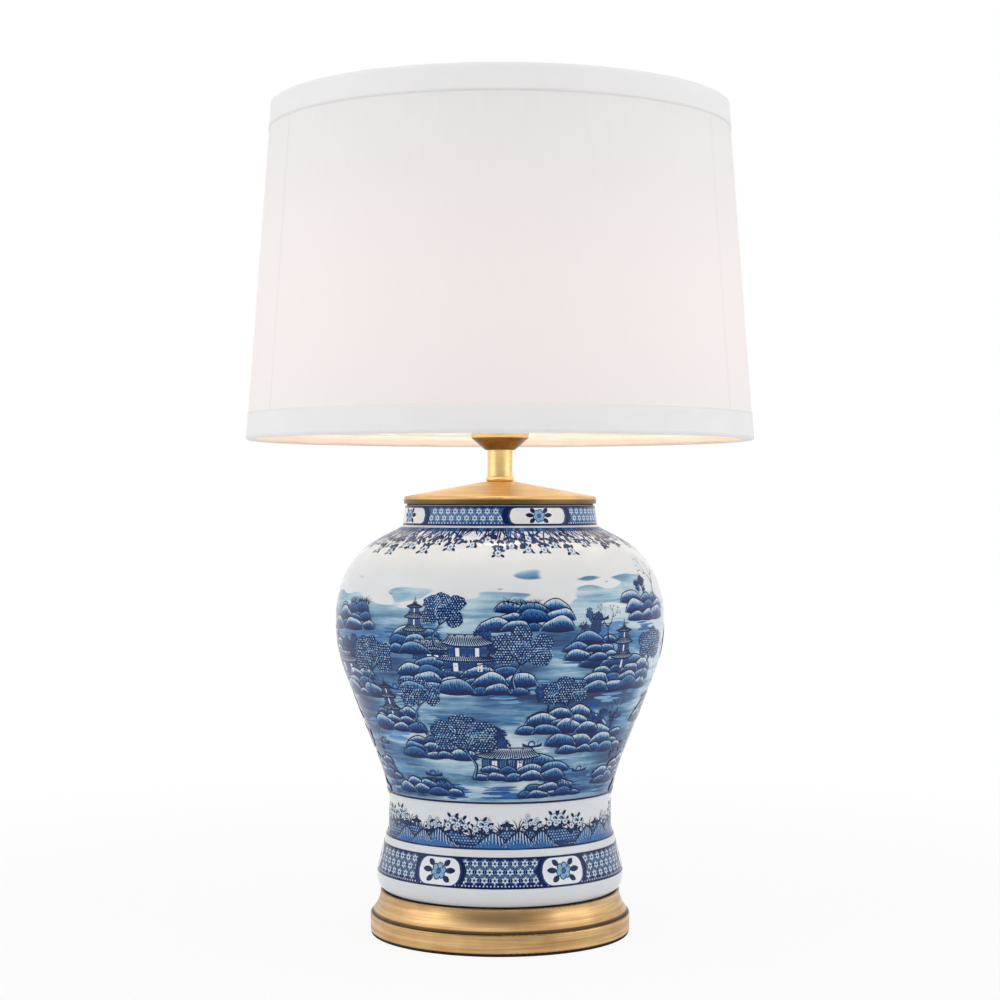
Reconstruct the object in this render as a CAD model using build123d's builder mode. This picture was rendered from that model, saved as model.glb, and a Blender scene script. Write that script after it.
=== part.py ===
"""Table lamp: a porcelain temple jar on a brass foot, with a brass cap and neck, a screw lampholder
with a turn switch, an opal bulb and a tapered fabric shade on a wire frame.

Units are millimetres. +Z is up, the origin is the middle of the resting face, and -Y is the front.
Everything is stacked on one hollow threaded rod, clamped between the lower nut and the upper nut.
"""

import os
from math import cos, radians, sin

from build123d import *

os.makedirs("parts", exist_ok=True)

# Fits between pieces
slip = 0.2  # radial room of a washer, ring or tube on the rod
thread_room = 0.05  # radial room of a plain bore that stands for a thread
running_room = 0.06  # radial room of a shaft that turns
body_room = 0.3  # gap between pieces that move past each other
glue_gap = 0.1  # radial room between the glued layers of the shade
edge_round = 0.6  # softened edge of turned brass

# Base: felt pad, spun brass foot, cast weight and cord bush
pad_thickness = 1.8
pad_inset = 0.6
base_radius = 103.2
base_height = 34.6
band_height = 14.6
band_round = 1.3
groove_height = 1.8
groove_depth = 2.2
cove_foot_inset = 2.0
cove_top_inset = 8.0
cove_sag = 1.3
cove_lip = 1.8
cove_lip_round = 1.1
foot_wall = 2.4
web_thickness = 2.4
weight_recess_radius = 24.0
weight_roof = 11.0
channel_width = 15.0
channel_height = 14.0
cord_bore_radius = 3.6
bush_body_radius = 5.2
bush_flange_radius = 7.0
bush_flange_thickness = 2.0
bush_tail = 2.0

# Rod and its fasteners
rod_radius = 5.0
rod_bore_radius = 3.5
rod_tail = 3.0
washer_radius = 15.0
washer_thickness = 2.0
lower_nut_across_flats = 17.0
lower_nut_height = 8.0
upper_nut_across_flats = 14.0
upper_nut_height = 4.0

# Porcelain jar: radii, heights above its own foot, and drops below its mouth
foot_gasket_thickness = 1.0
foot_gasket_radius = 90.5
vase_wall = 6.0
vase_height = 304.0
vase_foot_radius = 93.0
vase_bulge_radius = 98.0
vase_bulge_height = 10.0
vase_instep_radius = 94.8
vase_instep_height = 26.4
vase_ankle_radius = 90.7
vase_ankle_height = 43.4
vase_waist_radius = 88.4
vase_waist_height = 65.4
vase_flank_radius = 101.4
vase_flank_height = 115.4
vase_chest_radius = 120.0
vase_chest_height = 163.0
vase_belly_radius = 130.8
vase_belly_height = 213.4
vase_shoulder_radius = 103.6
vase_shoulder_drop = 14.2
vase_collar_root_radius = 77.6
vase_collar_height = 17.0
vase_collar_radius = 75.6
vase_collar_fillet = 3.0
vase_lip_bevel = 1.2
vase_hole_radius = 6.5
vase_foot_heading = (1, 0.6)
vase_collar_heading = (-1, 0.5)
upright = (0, 1)

# Brass cap on the jar
cap_gasket_thickness = 1.0
cap_radius = 76.7
cap_rim_height = 5.6
cap_rim_round = 1.7
cap_rise = 11.8
cap_crown_radius = 13.0
cap_wall = 1.6
cap_spigot_length = 5.0
cap_spigot_wall = 1.6
cap_spigot_room = 0.8

# Brass neck and socket cup
bead_radius = 11.4
bead_height = 4.6
tube_radius = 10.0
tube_wall = 1.2
tube_length = 20.9
spigot_length = 3.0
cup_bottom_radius = 11.8
cup_radius = 22.9
cup_cone_height = 9.5
cup_lip_height = 5.6
cup_wall = 1.4
cup_floor = 2.4

# Lampholder
entry_radius = 10.5
entry_length = 9.0
holder_radius = 19.5
holder_wall = 2.0
holder_dome_height = 8.0
holder_base_height = 24.0
barrel_radius = 20.0
barrel_bore_radius = 17.0
barrel_height = 34.0
barrel_flange_radius = 22.6
barrel_flange_level = 8.0
barrel_flange_thickness = 3.0
block_stem_length = 22.0
block_stem_width = 14.0
block_deck = 8.0
shell_bore_radius = 13.3
shell_wall = 0.4
shell_length = 26.0
shell_flange_radius = 16.4
shell_flange_thickness = 0.6
contact_width = 6.0
contact_length = 15.0
contact_thickness = 0.5
contact_rise = 1.6
contact_bridge_length = 9.0
contact_crown_length = 5.2
terminal_screw_radius = 1.5
terminal_screw_depth = 4.0
terminal_head_radius = 2.6
terminal_head_height = 1.8
terminal_spacing = 11.0
terminal_level = 4.0

# Turn switch
spindle_radius = 2.0
spindle_reach = 6.0
switch_collar_radius = 4.2
switch_collar_length = 2.6
knob_lift = 1.8
knob_radius = 6.5
knob_length = 14.0
knob_face = 3.0
knob_round = 1.0
knob_flute_radius = 1.2
knob_flute_count = 10

# Shade ring on the lampholder
shade_ring_radius = 27.0
shade_ring_height = 9.0
shade_ring_flute_radius = 1.6
shade_ring_flute_count = 24

# Bulb
bulb_seat_gap = 0.3
bulb_contact_radius = 4.6
bulb_contact_height = 1.0
bulb_insulator_radius = 10.0
bulb_insulator_height = 2.4
screw_cap_radius = 13.0
screw_cap_length = 24.0
screw_cap_taper = 3.0
screw_cap_wall = 0.6
bulb_neck_radius = 13.6
bulb_body_radius = 29.0
bulb_body_height = 25.0
bulb_neck_heading = (0.4, 1)
bulb_body_heading = (0.2, 1)
bulb_radius = 30.0
bulb_belly_height = 22.0
bulb_globe_heading = (0.09, 1)
bulb_globe_wall = 1.2
board_radius = 24.0
board_thickness = 1.6

# Shade
shade_bottom_radius = 202.0
shade_top_radius = 182.5
shade_height = 266.0
shade_overlap = 2.3  # how far the lower rim hangs below the top of the socket cup's cone
trim_height = 21.0
trim_thickness = 0.8
hem_height = 9.0
fabric_thickness = 0.6
lining_thickness = 0.5
ring_wire_radius = 2.0
strut_radius = 1.5
arm_radius = 1.75
arm_weld = 0.6
arm_count = 3
rear_arm_angle = 90.0
arm_notch_room = 1.0
fitter_radius = 29.0
fitter_thickness = 2.0

# Levels up the stack
cord_height = pad_thickness + band_height / 2
web_top = base_height
web_bottom = web_top - web_thickness
recess_roof = web_bottom - weight_roof
nut_top = recess_roof - washer_thickness
nut_bottom = nut_top - lower_nut_height
rod_bottom = nut_bottom - rod_tail
vase_bottom = web_top + foot_gasket_thickness
vase_floor = vase_bottom + vase_wall
vase_top = vase_bottom + vase_height
collar_root = vase_top - vase_collar_height
shoulder_level = collar_root - vase_shoulder_drop
cap_bottom = vase_top + cap_gasket_thickness
cap_rim_top = cap_bottom + cap_rim_height
cap_top = cap_rim_top + cap_rise
bead_top = cap_top + bead_height
tube_top = bead_top + tube_length
cup_floor_top = tube_top + cup_floor
cup_cone_top = tube_top + cup_cone_height
cup_top = cup_cone_top + cup_lip_height
holder_bottom = cup_floor_top + upper_nut_height
holder_floor = holder_bottom + entry_length
holder_joint = holder_bottom + holder_base_height
flange_bottom = holder_joint + barrel_flange_level
flange_top = flange_bottom + barrel_flange_thickness
barrel_top = holder_joint + barrel_height
fitter_top = flange_top + fitter_thickness
deck_bottom = holder_joint - holder_wall
deck_top = deck_bottom + block_deck
contact_top = deck_top + contact_rise + contact_thickness
bulb_bottom = contact_top + bulb_seat_gap
insulator_bottom = bulb_bottom + bulb_contact_height
screw_cap_bottom = insulator_bottom + bulb_insulator_height
screw_cap_top = screw_cap_bottom + screw_cap_length
globe_bottom = screw_cap_top + bulb_body_height
spindle_level = cup_top + knob_lift + knob_radius
shade_bottom = cup_cone_top - shade_overlap
shade_top = shade_bottom + shade_height

# Radii shared by mating pieces
rod_hole_radius = rod_radius + slip
rod_thread_radius = rod_radius + thread_room
vase_mouth_radius = vase_collar_radius - vase_wall
tube_spigot_radius = tube_radius - tube_wall - slip
block_radius = barrel_bore_radius - body_room
spindle_hole_radius = spindle_radius + running_room

# Layers of the shade, as radial insets from the outside of its trim
fabric_inset = trim_thickness + glue_gap
lining_inset = fabric_inset + fabric_thickness + glue_gap
wire_inset = lining_inset + lining_thickness + glue_gap + ring_wire_radius
hem_inset = wire_inset + ring_wire_radius + glue_gap
lower_wire_level = shade_bottom + trim_thickness + ring_wire_radius
upper_wire_level = shade_top - trim_thickness - ring_wire_radius


def save(piece, name):
    """Label a finished piece and write it as one STEP file under its node's name."""
    piece.part.label = name
    export_step(piece.part, f"parts/{name}.step")


def shade_radius_at(level, inset=0.0):
    """Radius of the shade's tapered wall at a level, some way in from the outside of its trim."""
    share = (level - shade_bottom) / shade_height
    return shade_bottom_radius + (shade_top_radius - shade_bottom_radius) * share - inset


def shade_wall(bottom, top, inset, thickness):
    """Corners of the section of one tapered layer of the shade."""
    return [
        (shade_radius_at(bottom, inset), bottom),
        (shade_radius_at(top, inset), top),
        (shade_radius_at(top, inset + thickness), top),
        (shade_radius_at(bottom, inset + thickness), bottom),
    ]


def trim_section(rim, lip, edge, hem):
    """Corners of a trim tape's section: outer band, turned over the rim, folded up behind the wire."""
    return [
        (shade_radius_at(rim), rim),
        (shade_radius_at(edge), edge),
        (shade_radius_at(edge, trim_thickness), edge),
        (shade_radius_at(lip, trim_thickness), lip),
        (shade_radius_at(lip, hem_inset), lip),
        (shade_radius_at(hem, hem_inset), hem),
        (shade_radius_at(hem, hem_inset + trim_thickness), hem),
        (shade_radius_at(rim, hem_inset + trim_thickness), rim),
    ]


def spoke_point(radius, angle, level):
    """A point at a radius, an angle in degrees and a level."""
    return Vector(radius * cos(radians(angle)), radius * sin(radians(angle)), level)


# Felt pad under the foot
with BuildPart() as base_pad:
    with BuildSketch():
        Circle(base_radius - pad_inset)
    extrude(amount=pad_thickness)
save(base_pad, "base_pad")

# Spun brass foot: a plain band, a groove, a cove and a flat web that carries the jar
band_top = pad_thickness + band_height
groove_top = band_top + groove_height
cove_foot_radius = base_radius - cove_foot_inset
cove_top_radius = base_radius - cove_top_inset
cove_top = web_top - cove_lip
foot_bore_radius = base_radius - groove_depth - foot_wall
web_bore_radius = cove_top_radius - cove_sag - foot_wall
with BuildPart() as base_foot:
    with BuildSketch(Plane.XZ) as foot_profile:
        with BuildLine():
            Polyline(
                (foot_bore_radius, pad_thickness),
                (base_radius, pad_thickness),
                (base_radius, band_top),
                (base_radius - groove_depth, band_top),
                (base_radius - groove_depth, groove_top),
                (cove_foot_radius, groove_top),
            )
            SagittaArc((cove_foot_radius, groove_top), (cove_top_radius, cove_top), cove_sag)
            Polyline(
                (cove_top_radius, cove_top),
                (cove_top_radius, web_top),
                (rod_hole_radius, web_top),
                (rod_hole_radius, web_bottom),
                (web_bore_radius, web_bottom),
                (foot_bore_radius, groove_top),
                (foot_bore_radius, pad_thickness),
            )
        make_face()
        fillet(foot_profile.vertices().group_by(Axis.X)[-1], band_round)
        fillet(foot_profile.vertices().group_by(Axis.Y)[-1].sort_by(Axis.X)[-1], cove_lip_round)
    revolve(axis=Axis.Z)
    with BuildSketch(Plane.XZ):
        with Locations((0, cord_height)):
            Circle(bush_body_radius + slip)
    extrude(amount=-2 * base_radius, mode=Mode.SUBTRACT)
save(base_foot, "base_foot")

# Cast weight that fills the foot, with a recess for the nut and a channel for the cord
with BuildPart() as base_weight:
    with BuildSketch(Plane.XZ):
        with BuildLine():
            Polyline(
                (rod_hole_radius, recess_roof),
                (weight_recess_radius, recess_roof),
                (weight_recess_radius, pad_thickness),
                (foot_bore_radius - slip, pad_thickness),
                (foot_bore_radius - slip, groove_top),
                (web_bore_radius - slip, web_bottom),
                (rod_hole_radius, web_bottom),
                close=True,
            )
        make_face()
    revolve(axis=Axis.Z)
    with BuildSketch(Plane.XY.offset(pad_thickness)):
        with Locations((0, base_radius / 2)):
            Rectangle(channel_width, base_radius)
    extrude(amount=channel_height, mode=Mode.SUBTRACT)
save(base_weight, "base_weight")

# Bush in the foot's rear wall that a supply cord passes through
bush_start = foot_bore_radius - bush_tail
with BuildPart() as cord_bush:
    with BuildSketch(Plane.XZ.offset(-bush_start)):
        with Locations((0, cord_height)):
            Circle(bush_body_radius)
    extrude(amount=bush_start - base_radius)
    with BuildSketch(Plane.XZ.offset(-base_radius)):
        with Locations((0, cord_height)):
            Circle(bush_flange_radius)
    extrude(amount=-bush_flange_thickness)
    fillet(cord_bush.edges().filter_by(GeomType.CIRCLE).sort_by(Axis.Y)[-1], edge_round)
    with BuildSketch(Plane.XZ.offset(-bush_start)):
        with Locations((0, cord_height)):
            Circle(cord_bore_radius)
    extrude(amount=bush_start - base_radius - bush_flange_thickness, mode=Mode.SUBTRACT)
save(cord_bush, "cord_bush")

# Hollow threaded rod that holds the stack together, and its fasteners
with BuildPart() as threaded_rod:
    with BuildSketch(Plane.XY.offset(rod_bottom)):
        Circle(rod_radius)
        Circle(rod_bore_radius, mode=Mode.SUBTRACT)
    extrude(amount=holder_floor - rod_bottom)
save(threaded_rod, "threaded_rod")

with BuildPart() as lower_washer:
    with BuildSketch(Plane.XY.offset(nut_top)):
        Circle(washer_radius)
        Circle(rod_hole_radius, mode=Mode.SUBTRACT)
    extrude(amount=washer_thickness)
save(lower_washer, "lower_washer")

with BuildPart() as lower_nut:
    with BuildSketch(Plane.XY.offset(nut_bottom)):
        RegularPolygon(lower_nut_across_flats / 2, 6, major_radius=False)
        Circle(rod_thread_radius, mode=Mode.SUBTRACT)
    extrude(amount=lower_nut_height)
save(lower_nut, "lower_nut")

with BuildPart() as upper_nut:
    with BuildSketch(Plane.XY.offset(cup_floor_top)):
        RegularPolygon(upper_nut_across_flats / 2, 6, major_radius=False)
        Circle(rod_thread_radius, mode=Mode.SUBTRACT)
    extrude(amount=upper_nut_height)
save(upper_nut, "upper_nut")

# Soft washer between the foot and the jar
with BuildPart() as foot_gasket:
    with BuildSketch(Plane.XY.offset(web_top)):
        Circle(foot_gasket_radius)
        Circle(rod_hole_radius, mode=Mode.SUBTRACT)
    extrude(amount=foot_gasket_thickness)
save(foot_gasket, "foot_gasket")

# Porcelain jar, turned on its axis and hollowed to an even wall
with BuildPart() as vase:
    with BuildSketch(Plane.XZ) as vase_profile:
        with BuildLine():
            flare = Spline(
                (vase_foot_radius, vase_bottom),
                (vase_bulge_radius, vase_bottom + vase_bulge_height),
                (vase_instep_radius, vase_bottom + vase_instep_height),
                (vase_ankle_radius, vase_bottom + vase_ankle_height),
                (vase_waist_radius, vase_bottom + vase_waist_height),
                tangents=(vase_foot_heading, upright),
            )
            flank = Spline(
                flare @ 1,
                (vase_flank_radius, vase_bottom + vase_flank_height),
                (vase_chest_radius, vase_bottom + vase_chest_height),
                (vase_belly_radius, vase_bottom + vase_belly_height),
                tangents=(upright, upright),
            )
            shoulder = Spline(
                flank @ 1,
                (vase_shoulder_radius, shoulder_level),
                (vase_collar_root_radius, collar_root),
                tangents=(upright, vase_collar_heading),
            )
            collar = Line(shoulder @ 1, (vase_collar_radius, vase_top))
            Polyline(collar @ 1, (0, vase_top), (0, vase_bottom), flare @ 0)
        make_face()
        fillet(vase_profile.vertices().sort_by_distance(shoulder @ 1)[0], vase_collar_fillet)
    revolve(axis=Axis.Z)
    with BuildSketch(Plane.XZ):
        with BuildLine():
            hollow = Polyline(
                (vase_instep_radius - vase_wall, vase_floor),
                (vase_waist_radius - vase_wall, vase_bottom + vase_waist_height),
                (vase_flank_radius - vase_wall, vase_bottom + vase_flank_height),
                (vase_chest_radius - vase_wall, vase_bottom + vase_chest_height),
                (vase_belly_radius - vase_wall, vase_bottom + vase_belly_height),
                (vase_shoulder_radius - vase_wall / 2, shoulder_level - vase_wall),
                (vase_mouth_radius, collar_root - vase_wall),
            )
            Polyline(
                hollow @ 1,
                (vase_mouth_radius, vase_top),
                (0, vase_top),
                (0, vase_floor),
                hollow @ 0,
            )
        make_face()
    revolve(axis=Axis.Z, mode=Mode.SUBTRACT)
    with BuildSketch(Plane.XY.offset(vase_bottom)):
        Circle(vase_hole_radius)
    extrude(amount=2 * vase_wall, mode=Mode.SUBTRACT)
    chamfer(vase.edges().group_by(Axis.Z)[-1], vase_lip_bevel)
save(vase, "vase")

# Soft washer between the jar and its cap
with BuildPart() as cap_gasket:
    with BuildSketch(Plane.XY.offset(vase_top)):
        Circle(vase_collar_radius - vase_lip_bevel)
        Circle(vase_mouth_radius + vase_lip_bevel, mode=Mode.SUBTRACT)
    extrude(amount=cap_gasket_thickness)
save(cap_gasket, "cap_gasket")

# Brass cap: a solid rim, a shallow cone and a spigot that centres it in the jar's mouth
spigot_outer = vase_mouth_radius - cap_spigot_room
spigot_inner = spigot_outer - cap_spigot_wall
cap_slope = cap_rise / (cap_radius - cap_crown_radius)
with BuildPart() as vase_cap:
    with BuildSketch(Plane.XZ) as cap_profile:
        with BuildLine():
            Polyline(
                (spigot_outer, cap_bottom),
                (cap_radius, cap_bottom),
                (cap_radius, cap_rim_top),
                (cap_crown_radius, cap_top),
                (rod_hole_radius, cap_top),
                (rod_hole_radius, cap_top - cap_wall),
                (cap_crown_radius, cap_top - cap_wall),
                (spigot_inner, cap_rim_top - cap_wall + (cap_radius - spigot_inner) * cap_slope),
                (spigot_inner, cap_bottom - cap_spigot_length),
                (spigot_outer, cap_bottom - cap_spigot_length),
                close=True,
            )
        make_face()
        rim_corners = cap_profile.vertices().group_by(Axis.X)[-1].sort_by(Axis.Y)
        fillet(rim_corners[-1], cap_rim_round)
        fillet(rim_corners[0], edge_round)
    revolve(axis=Axis.Z)
save(vase_cap, "vase_cap")

# Bead ring on the cap, with a spigot for the neck tube
with BuildPart() as neck_ring:
    with BuildSketch(Plane.XZ):
        with BuildLine():
            bead_middle = (bead_radius, cap_top + bead_height / 2)
            ThreePointArc((tube_radius, cap_top), bead_middle, (tube_radius, bead_top))
            Polyline(
                (tube_radius, bead_top),
                (tube_spigot_radius, bead_top),
                (tube_spigot_radius, bead_top + spigot_length),
                (rod_hole_radius, bead_top + spigot_length),
                (rod_hole_radius, cap_top),
                (tube_radius, cap_top),
            )
        make_face()
    revolve(axis=Axis.Z)
save(neck_ring, "neck_ring")

with BuildPart() as neck_tube:
    with BuildSketch(Plane.XY.offset(bead_top)):
        Circle(tube_radius)
        Circle(tube_radius - tube_wall, mode=Mode.SUBTRACT)
    extrude(amount=tube_length)
save(neck_tube, "neck_tube")

# Socket cup: a short lip over a cone, with a floor that the upper nut clamps
cup_flare = (cup_radius - cup_bottom_radius) / cup_cone_height
cup_wall_across = cup_wall * (1 + cup_flare**2) ** 0.5
cup_floor_radius = cup_bottom_radius + cup_flare * cup_floor - cup_wall_across
cup_bore_radius = cup_radius - cup_wall
cup_bore_bottom = cup_floor_top + (cup_bore_radius - cup_floor_radius) / cup_flare
with BuildPart() as socket_cup:
    with BuildSketch(Plane.XZ) as cup_profile:
        with BuildLine():
            Polyline(
                (tube_spigot_radius, tube_top),
                (cup_bottom_radius, tube_top),
                (cup_radius, cup_cone_top),
                (cup_radius, cup_top),
                (cup_bore_radius, cup_top),
                (cup_bore_radius, cup_bore_bottom),
                (cup_floor_radius, cup_floor_top),
                (rod_hole_radius, cup_floor_top),
                (rod_hole_radius, tube_top - spigot_length),
                (tube_spigot_radius, tube_top - spigot_length),
                close=True,
            )
        make_face()
        fillet(cup_profile.vertices().group_by(Axis.X)[-1].sort_by(Axis.Y)[0], edge_round)
    revolve(axis=Axis.Z)
save(socket_cup, "socket_cup")

# Lampholder base, screwed on the rod, with a side hole for the switch spindle
with BuildPart() as holder_base:
    with BuildSketch(Plane.XZ):
        with BuildLine():
            Polyline(
                (rod_thread_radius, holder_bottom),
                (entry_radius, holder_bottom),
                (holder_radius, holder_bottom + holder_dome_height),
                (holder_radius, holder_joint),
                (holder_radius - holder_wall, holder_joint),
                (holder_radius - holder_wall, holder_floor),
                (rod_thread_radius, holder_floor),
                close=True,
            )
        make_face()
    revolve(axis=Axis.Z)
    with BuildSketch(Plane.YZ):
        with Locations((0, spindle_level)):
            Circle(spindle_hole_radius)
    extrude(amount=2 * holder_radius, mode=Mode.SUBTRACT)
save(holder_base, "holder_base")

# Lampholder barrel: a flange carries the shade's fitter, the plain part above takes the shade ring
with BuildPart() as holder_barrel:
    with BuildSketch(Plane.XZ) as barrel_profile:
        with BuildLine():
            Polyline(
                (barrel_bore_radius, holder_joint),
                (barrel_radius, holder_joint),
                (barrel_radius, flange_bottom),
                (barrel_flange_radius, flange_bottom),
                (barrel_flange_radius, flange_top),
                (barrel_radius, flange_top),
                (barrel_radius, barrel_top),
                (barrel_bore_radius, barrel_top),
                close=True,
            )
        make_face()
    revolve(axis=Axis.Z)
save(holder_barrel, "holder_barrel")

# Ceramic block: a stem with the terminals and the switch, and a deck under the screw shell
stem_side = block_stem_width / 2
stem_end = block_stem_length / 2
terminal_height = holder_floor + terminal_level
with BuildPart() as holder_block:
    with BuildSketch(Plane.XY.offset(holder_floor)):
        Rectangle(block_stem_length, block_stem_width)
    extrude(amount=deck_bottom - holder_floor)
    with BuildSketch(Plane.XY.offset(deck_bottom)):
        Circle(block_radius)
    extrude(amount=block_deck)
    with BuildSketch(Plane.YZ.offset(stem_end)):
        with Locations((0, spindle_level)):
            Circle(spindle_hole_radius)
    extrude(amount=-(spindle_reach + body_room), mode=Mode.SUBTRACT)
    with BuildSketch(Plane.XZ.offset(stem_side)):
        with Locations((-terminal_spacing / 2, terminal_height), (terminal_spacing / 2, terminal_height)):
            Circle(terminal_screw_radius + thread_room)
    extrude(amount=-terminal_screw_depth, mode=Mode.SUBTRACT)
save(holder_block, "holder_block")

with BuildPart() as terminal_screws:
    with BuildSketch(Plane.XZ.offset(stem_side)):
        with Locations((-terminal_spacing / 2, terminal_height), (terminal_spacing / 2, terminal_height)):
            Circle(terminal_screw_radius)
    extrude(amount=-terminal_screw_depth)
    with BuildSketch(Plane.XZ.offset(stem_side)):
        with Locations((-terminal_spacing / 2, terminal_height), (terminal_spacing / 2, terminal_height)):
            Circle(terminal_head_radius)
    extrude(amount=terminal_head_height)
save(terminal_screws, "terminal_screws")

# Screw shell and spring contact that the bulb meets
with BuildPart() as screw_shell:
    with BuildSketch(Plane.XY.offset(deck_top)):
        Circle(shell_flange_radius)
        Circle(shell_bore_radius, mode=Mode.SUBTRACT)
    extrude(amount=shell_flange_thickness)
    with BuildSketch(Plane.XY.offset(deck_top)):
        Circle(shell_bore_radius + shell_wall)
        Circle(shell_bore_radius, mode=Mode.SUBTRACT)
    extrude(amount=shell_length)
save(screw_shell, "screw_shell")

contact_right = [
    (contact_crown_length / 2, deck_top + contact_rise),
    (contact_bridge_length / 2, deck_top),
    (contact_length / 2, deck_top),
]
contact_lower = [(-x, level) for x, level in reversed(contact_right)] + contact_right
contact_upper = [(x, level + contact_thickness) for x, level in reversed(contact_lower)]
with BuildPart() as centre_contact:
    with BuildSketch(Plane.XZ):
        with BuildLine():
            Polyline(*contact_lower, *contact_upper, close=True)
        make_face()
    extrude(amount=contact_width / 2, both=True)
save(centre_contact, "centre_contact")

# Turn switch: a collar on the lampholder's side, a spindle into the block and a fluted knob
collar_end = holder_radius + switch_collar_length
knob_start = collar_end + body_room
knob_end = knob_start + knob_length
with BuildPart() as switch_collar:
    with BuildSketch(Plane.YZ.offset(holder_radius - holder_wall)):
        with Locations((0, spindle_level)):
            Circle(switch_collar_radius)
            Circle(spindle_hole_radius, mode=Mode.SUBTRACT)
    extrude(amount=holder_wall + switch_collar_length)
    with BuildSketch():
        Circle(holder_radius)
    extrude(amount=2 * spindle_level, mode=Mode.SUBTRACT)
save(switch_collar, "switch_collar")

with BuildPart() as switch_spindle:
    with BuildSketch(Plane.YZ.offset(stem_end - spindle_reach)):
        with Locations((0, spindle_level)):
            Circle(spindle_radius)
    extrude(amount=knob_end - knob_face - stem_end + spindle_reach)
save(switch_spindle, "switch_spindle")

with BuildPart() as switch_knob:
    with BuildSketch(Plane.YZ.offset(knob_start)):
        with Locations((0, spindle_level)):
            Circle(knob_radius)
    extrude(amount=knob_length)
    chamfer(switch_knob.faces().sort_by(Axis.X)[-1].edges(), knob_round)
    with BuildSketch(Plane.YZ.offset(knob_start)):
        with Locations((0, spindle_level)):
            with PolarLocations(knob_radius, knob_flute_count):
                Circle(knob_flute_radius)
    extrude(amount=knob_length, mode=Mode.SUBTRACT)
    with BuildSketch(Plane.YZ.offset(knob_start)):
        with Locations((0, spindle_level)):
            Circle(spindle_radius + thread_room)
    extrude(amount=knob_length - knob_face, mode=Mode.SUBTRACT)
save(switch_knob, "switch_knob")

# Shade ring: turns on the barrel and clamps the fitter against the flange
with BuildPart() as shade_ring:
    with BuildSketch(Plane.XY.offset(fitter_top)):
        Circle(shade_ring_radius)
        Circle(barrel_radius + running_room, mode=Mode.SUBTRACT)
        with PolarLocations(shade_ring_radius, shade_ring_flute_count):
            Circle(shade_ring_flute_radius, mode=Mode.SUBTRACT)
    extrude(amount=shade_ring_height)
save(shade_ring, "shade_ring")

# Bulb, from its contact up to the globe
with BuildPart() as bulb_contact:
    with BuildSketch(Plane.XY.offset(bulb_bottom)):
        Circle(bulb_contact_radius)
    extrude(amount=bulb_contact_height)
save(bulb_contact, "bulb_contact")

with BuildPart() as bulb_insulator:
    with BuildSketch(Plane.XZ):
        with BuildLine():
            Polyline(
                (0, insulator_bottom),
                (bulb_contact_radius, insulator_bottom),
                (bulb_insulator_radius, screw_cap_bottom),
                (0, screw_cap_bottom),
                close=True,
            )
        make_face()
    revolve(axis=Axis.Z)
save(bulb_insulator, "bulb_insulator")

with BuildPart() as bulb_screw_cap:
    with BuildSketch(Plane.XZ):
        with BuildLine():
            Polyline(
                (0, screw_cap_bottom),
                (bulb_insulator_radius, screw_cap_bottom),
                (screw_cap_radius, screw_cap_bottom + screw_cap_taper),
                (screw_cap_radius, screw_cap_top),
                (0, screw_cap_top),
                close=True,
            )
        make_face()
    revolve(axis=Axis.Z)
    offset(amount=-screw_cap_wall, openings=bulb_screw_cap.faces().sort_by(Axis.Z)[-1])
save(bulb_screw_cap, "bulb_screw_cap")

with BuildPart() as bulb_body:
    with BuildSketch(Plane.XZ):
        with BuildLine():
            body_side = Spline(
                (bulb_neck_radius, screw_cap_top),
                (bulb_body_radius, globe_bottom),
                tangents=(bulb_neck_heading, bulb_body_heading),
            )
            Polyline(body_side @ 1, (0, globe_bottom), (0, screw_cap_top), body_side @ 0)
        make_face()
    revolve(axis=Axis.Z)
save(bulb_body, "bulb_body")

with BuildPart() as light_board:
    with BuildSketch(Plane.XY.offset(globe_bottom)):
        Circle(board_radius)
    extrude(amount=board_thickness)
save(light_board, "light_board")

globe_belly = globe_bottom + bulb_belly_height
globe_top = globe_belly + bulb_radius
with BuildPart() as bulb_globe:
    with BuildSketch(Plane.XZ):
        with BuildLine():
            for inset in (0, bulb_globe_wall):
                Spline(
                    (bulb_body_radius - inset, globe_bottom),
                    (bulb_radius - inset, globe_belly),
                    tangents=(bulb_globe_heading, upright),
                )
                CenterArc((0, globe_belly), bulb_radius - inset, start_angle=0, arc_size=90)
            Line((0, globe_top), (0, globe_top - bulb_globe_wall))
            Line((bulb_body_radius, globe_bottom), (bulb_body_radius - bulb_globe_wall, globe_bottom))
        make_face()
    revolve(axis=Axis.Z)
save(bulb_globe, "bulb_globe")

# Shade frame: two wire rings, three struts and a three-armed spider with its fitter ring
with BuildPart() as lower_wire:
    with BuildSketch(Plane.XZ):
        with Locations((shade_radius_at(lower_wire_level, wire_inset), lower_wire_level)):
            Circle(ring_wire_radius)
    revolve(axis=Axis.Z)
save(lower_wire, "lower_wire")

with BuildPart() as upper_wire:
    with BuildSketch(Plane.XZ):
        with Locations((shade_radius_at(upper_wire_level, wire_inset), upper_wire_level)):
            Circle(ring_wire_radius)
    revolve(axis=Axis.Z)
save(upper_wire, "upper_wire")

with BuildPart() as frame_struts:
    for k in range(arm_count):
        angle = rear_arm_angle + 360 / arm_count * k
        foot = spoke_point(shade_radius_at(lower_wire_level, wire_inset), angle, lower_wire_level)
        head = spoke_point(shade_radius_at(upper_wire_level, wire_inset), angle, upper_wire_level)
        with BuildSketch(Plane(origin=foot, z_dir=head - foot)):
            Circle(strut_radius)
        extrude(amount=(head - foot).length)
    add(lower_wire.part, mode=Mode.SUBTRACT)
    add(upper_wire.part, mode=Mode.SUBTRACT)
save(frame_struts, "frame_struts")

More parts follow.
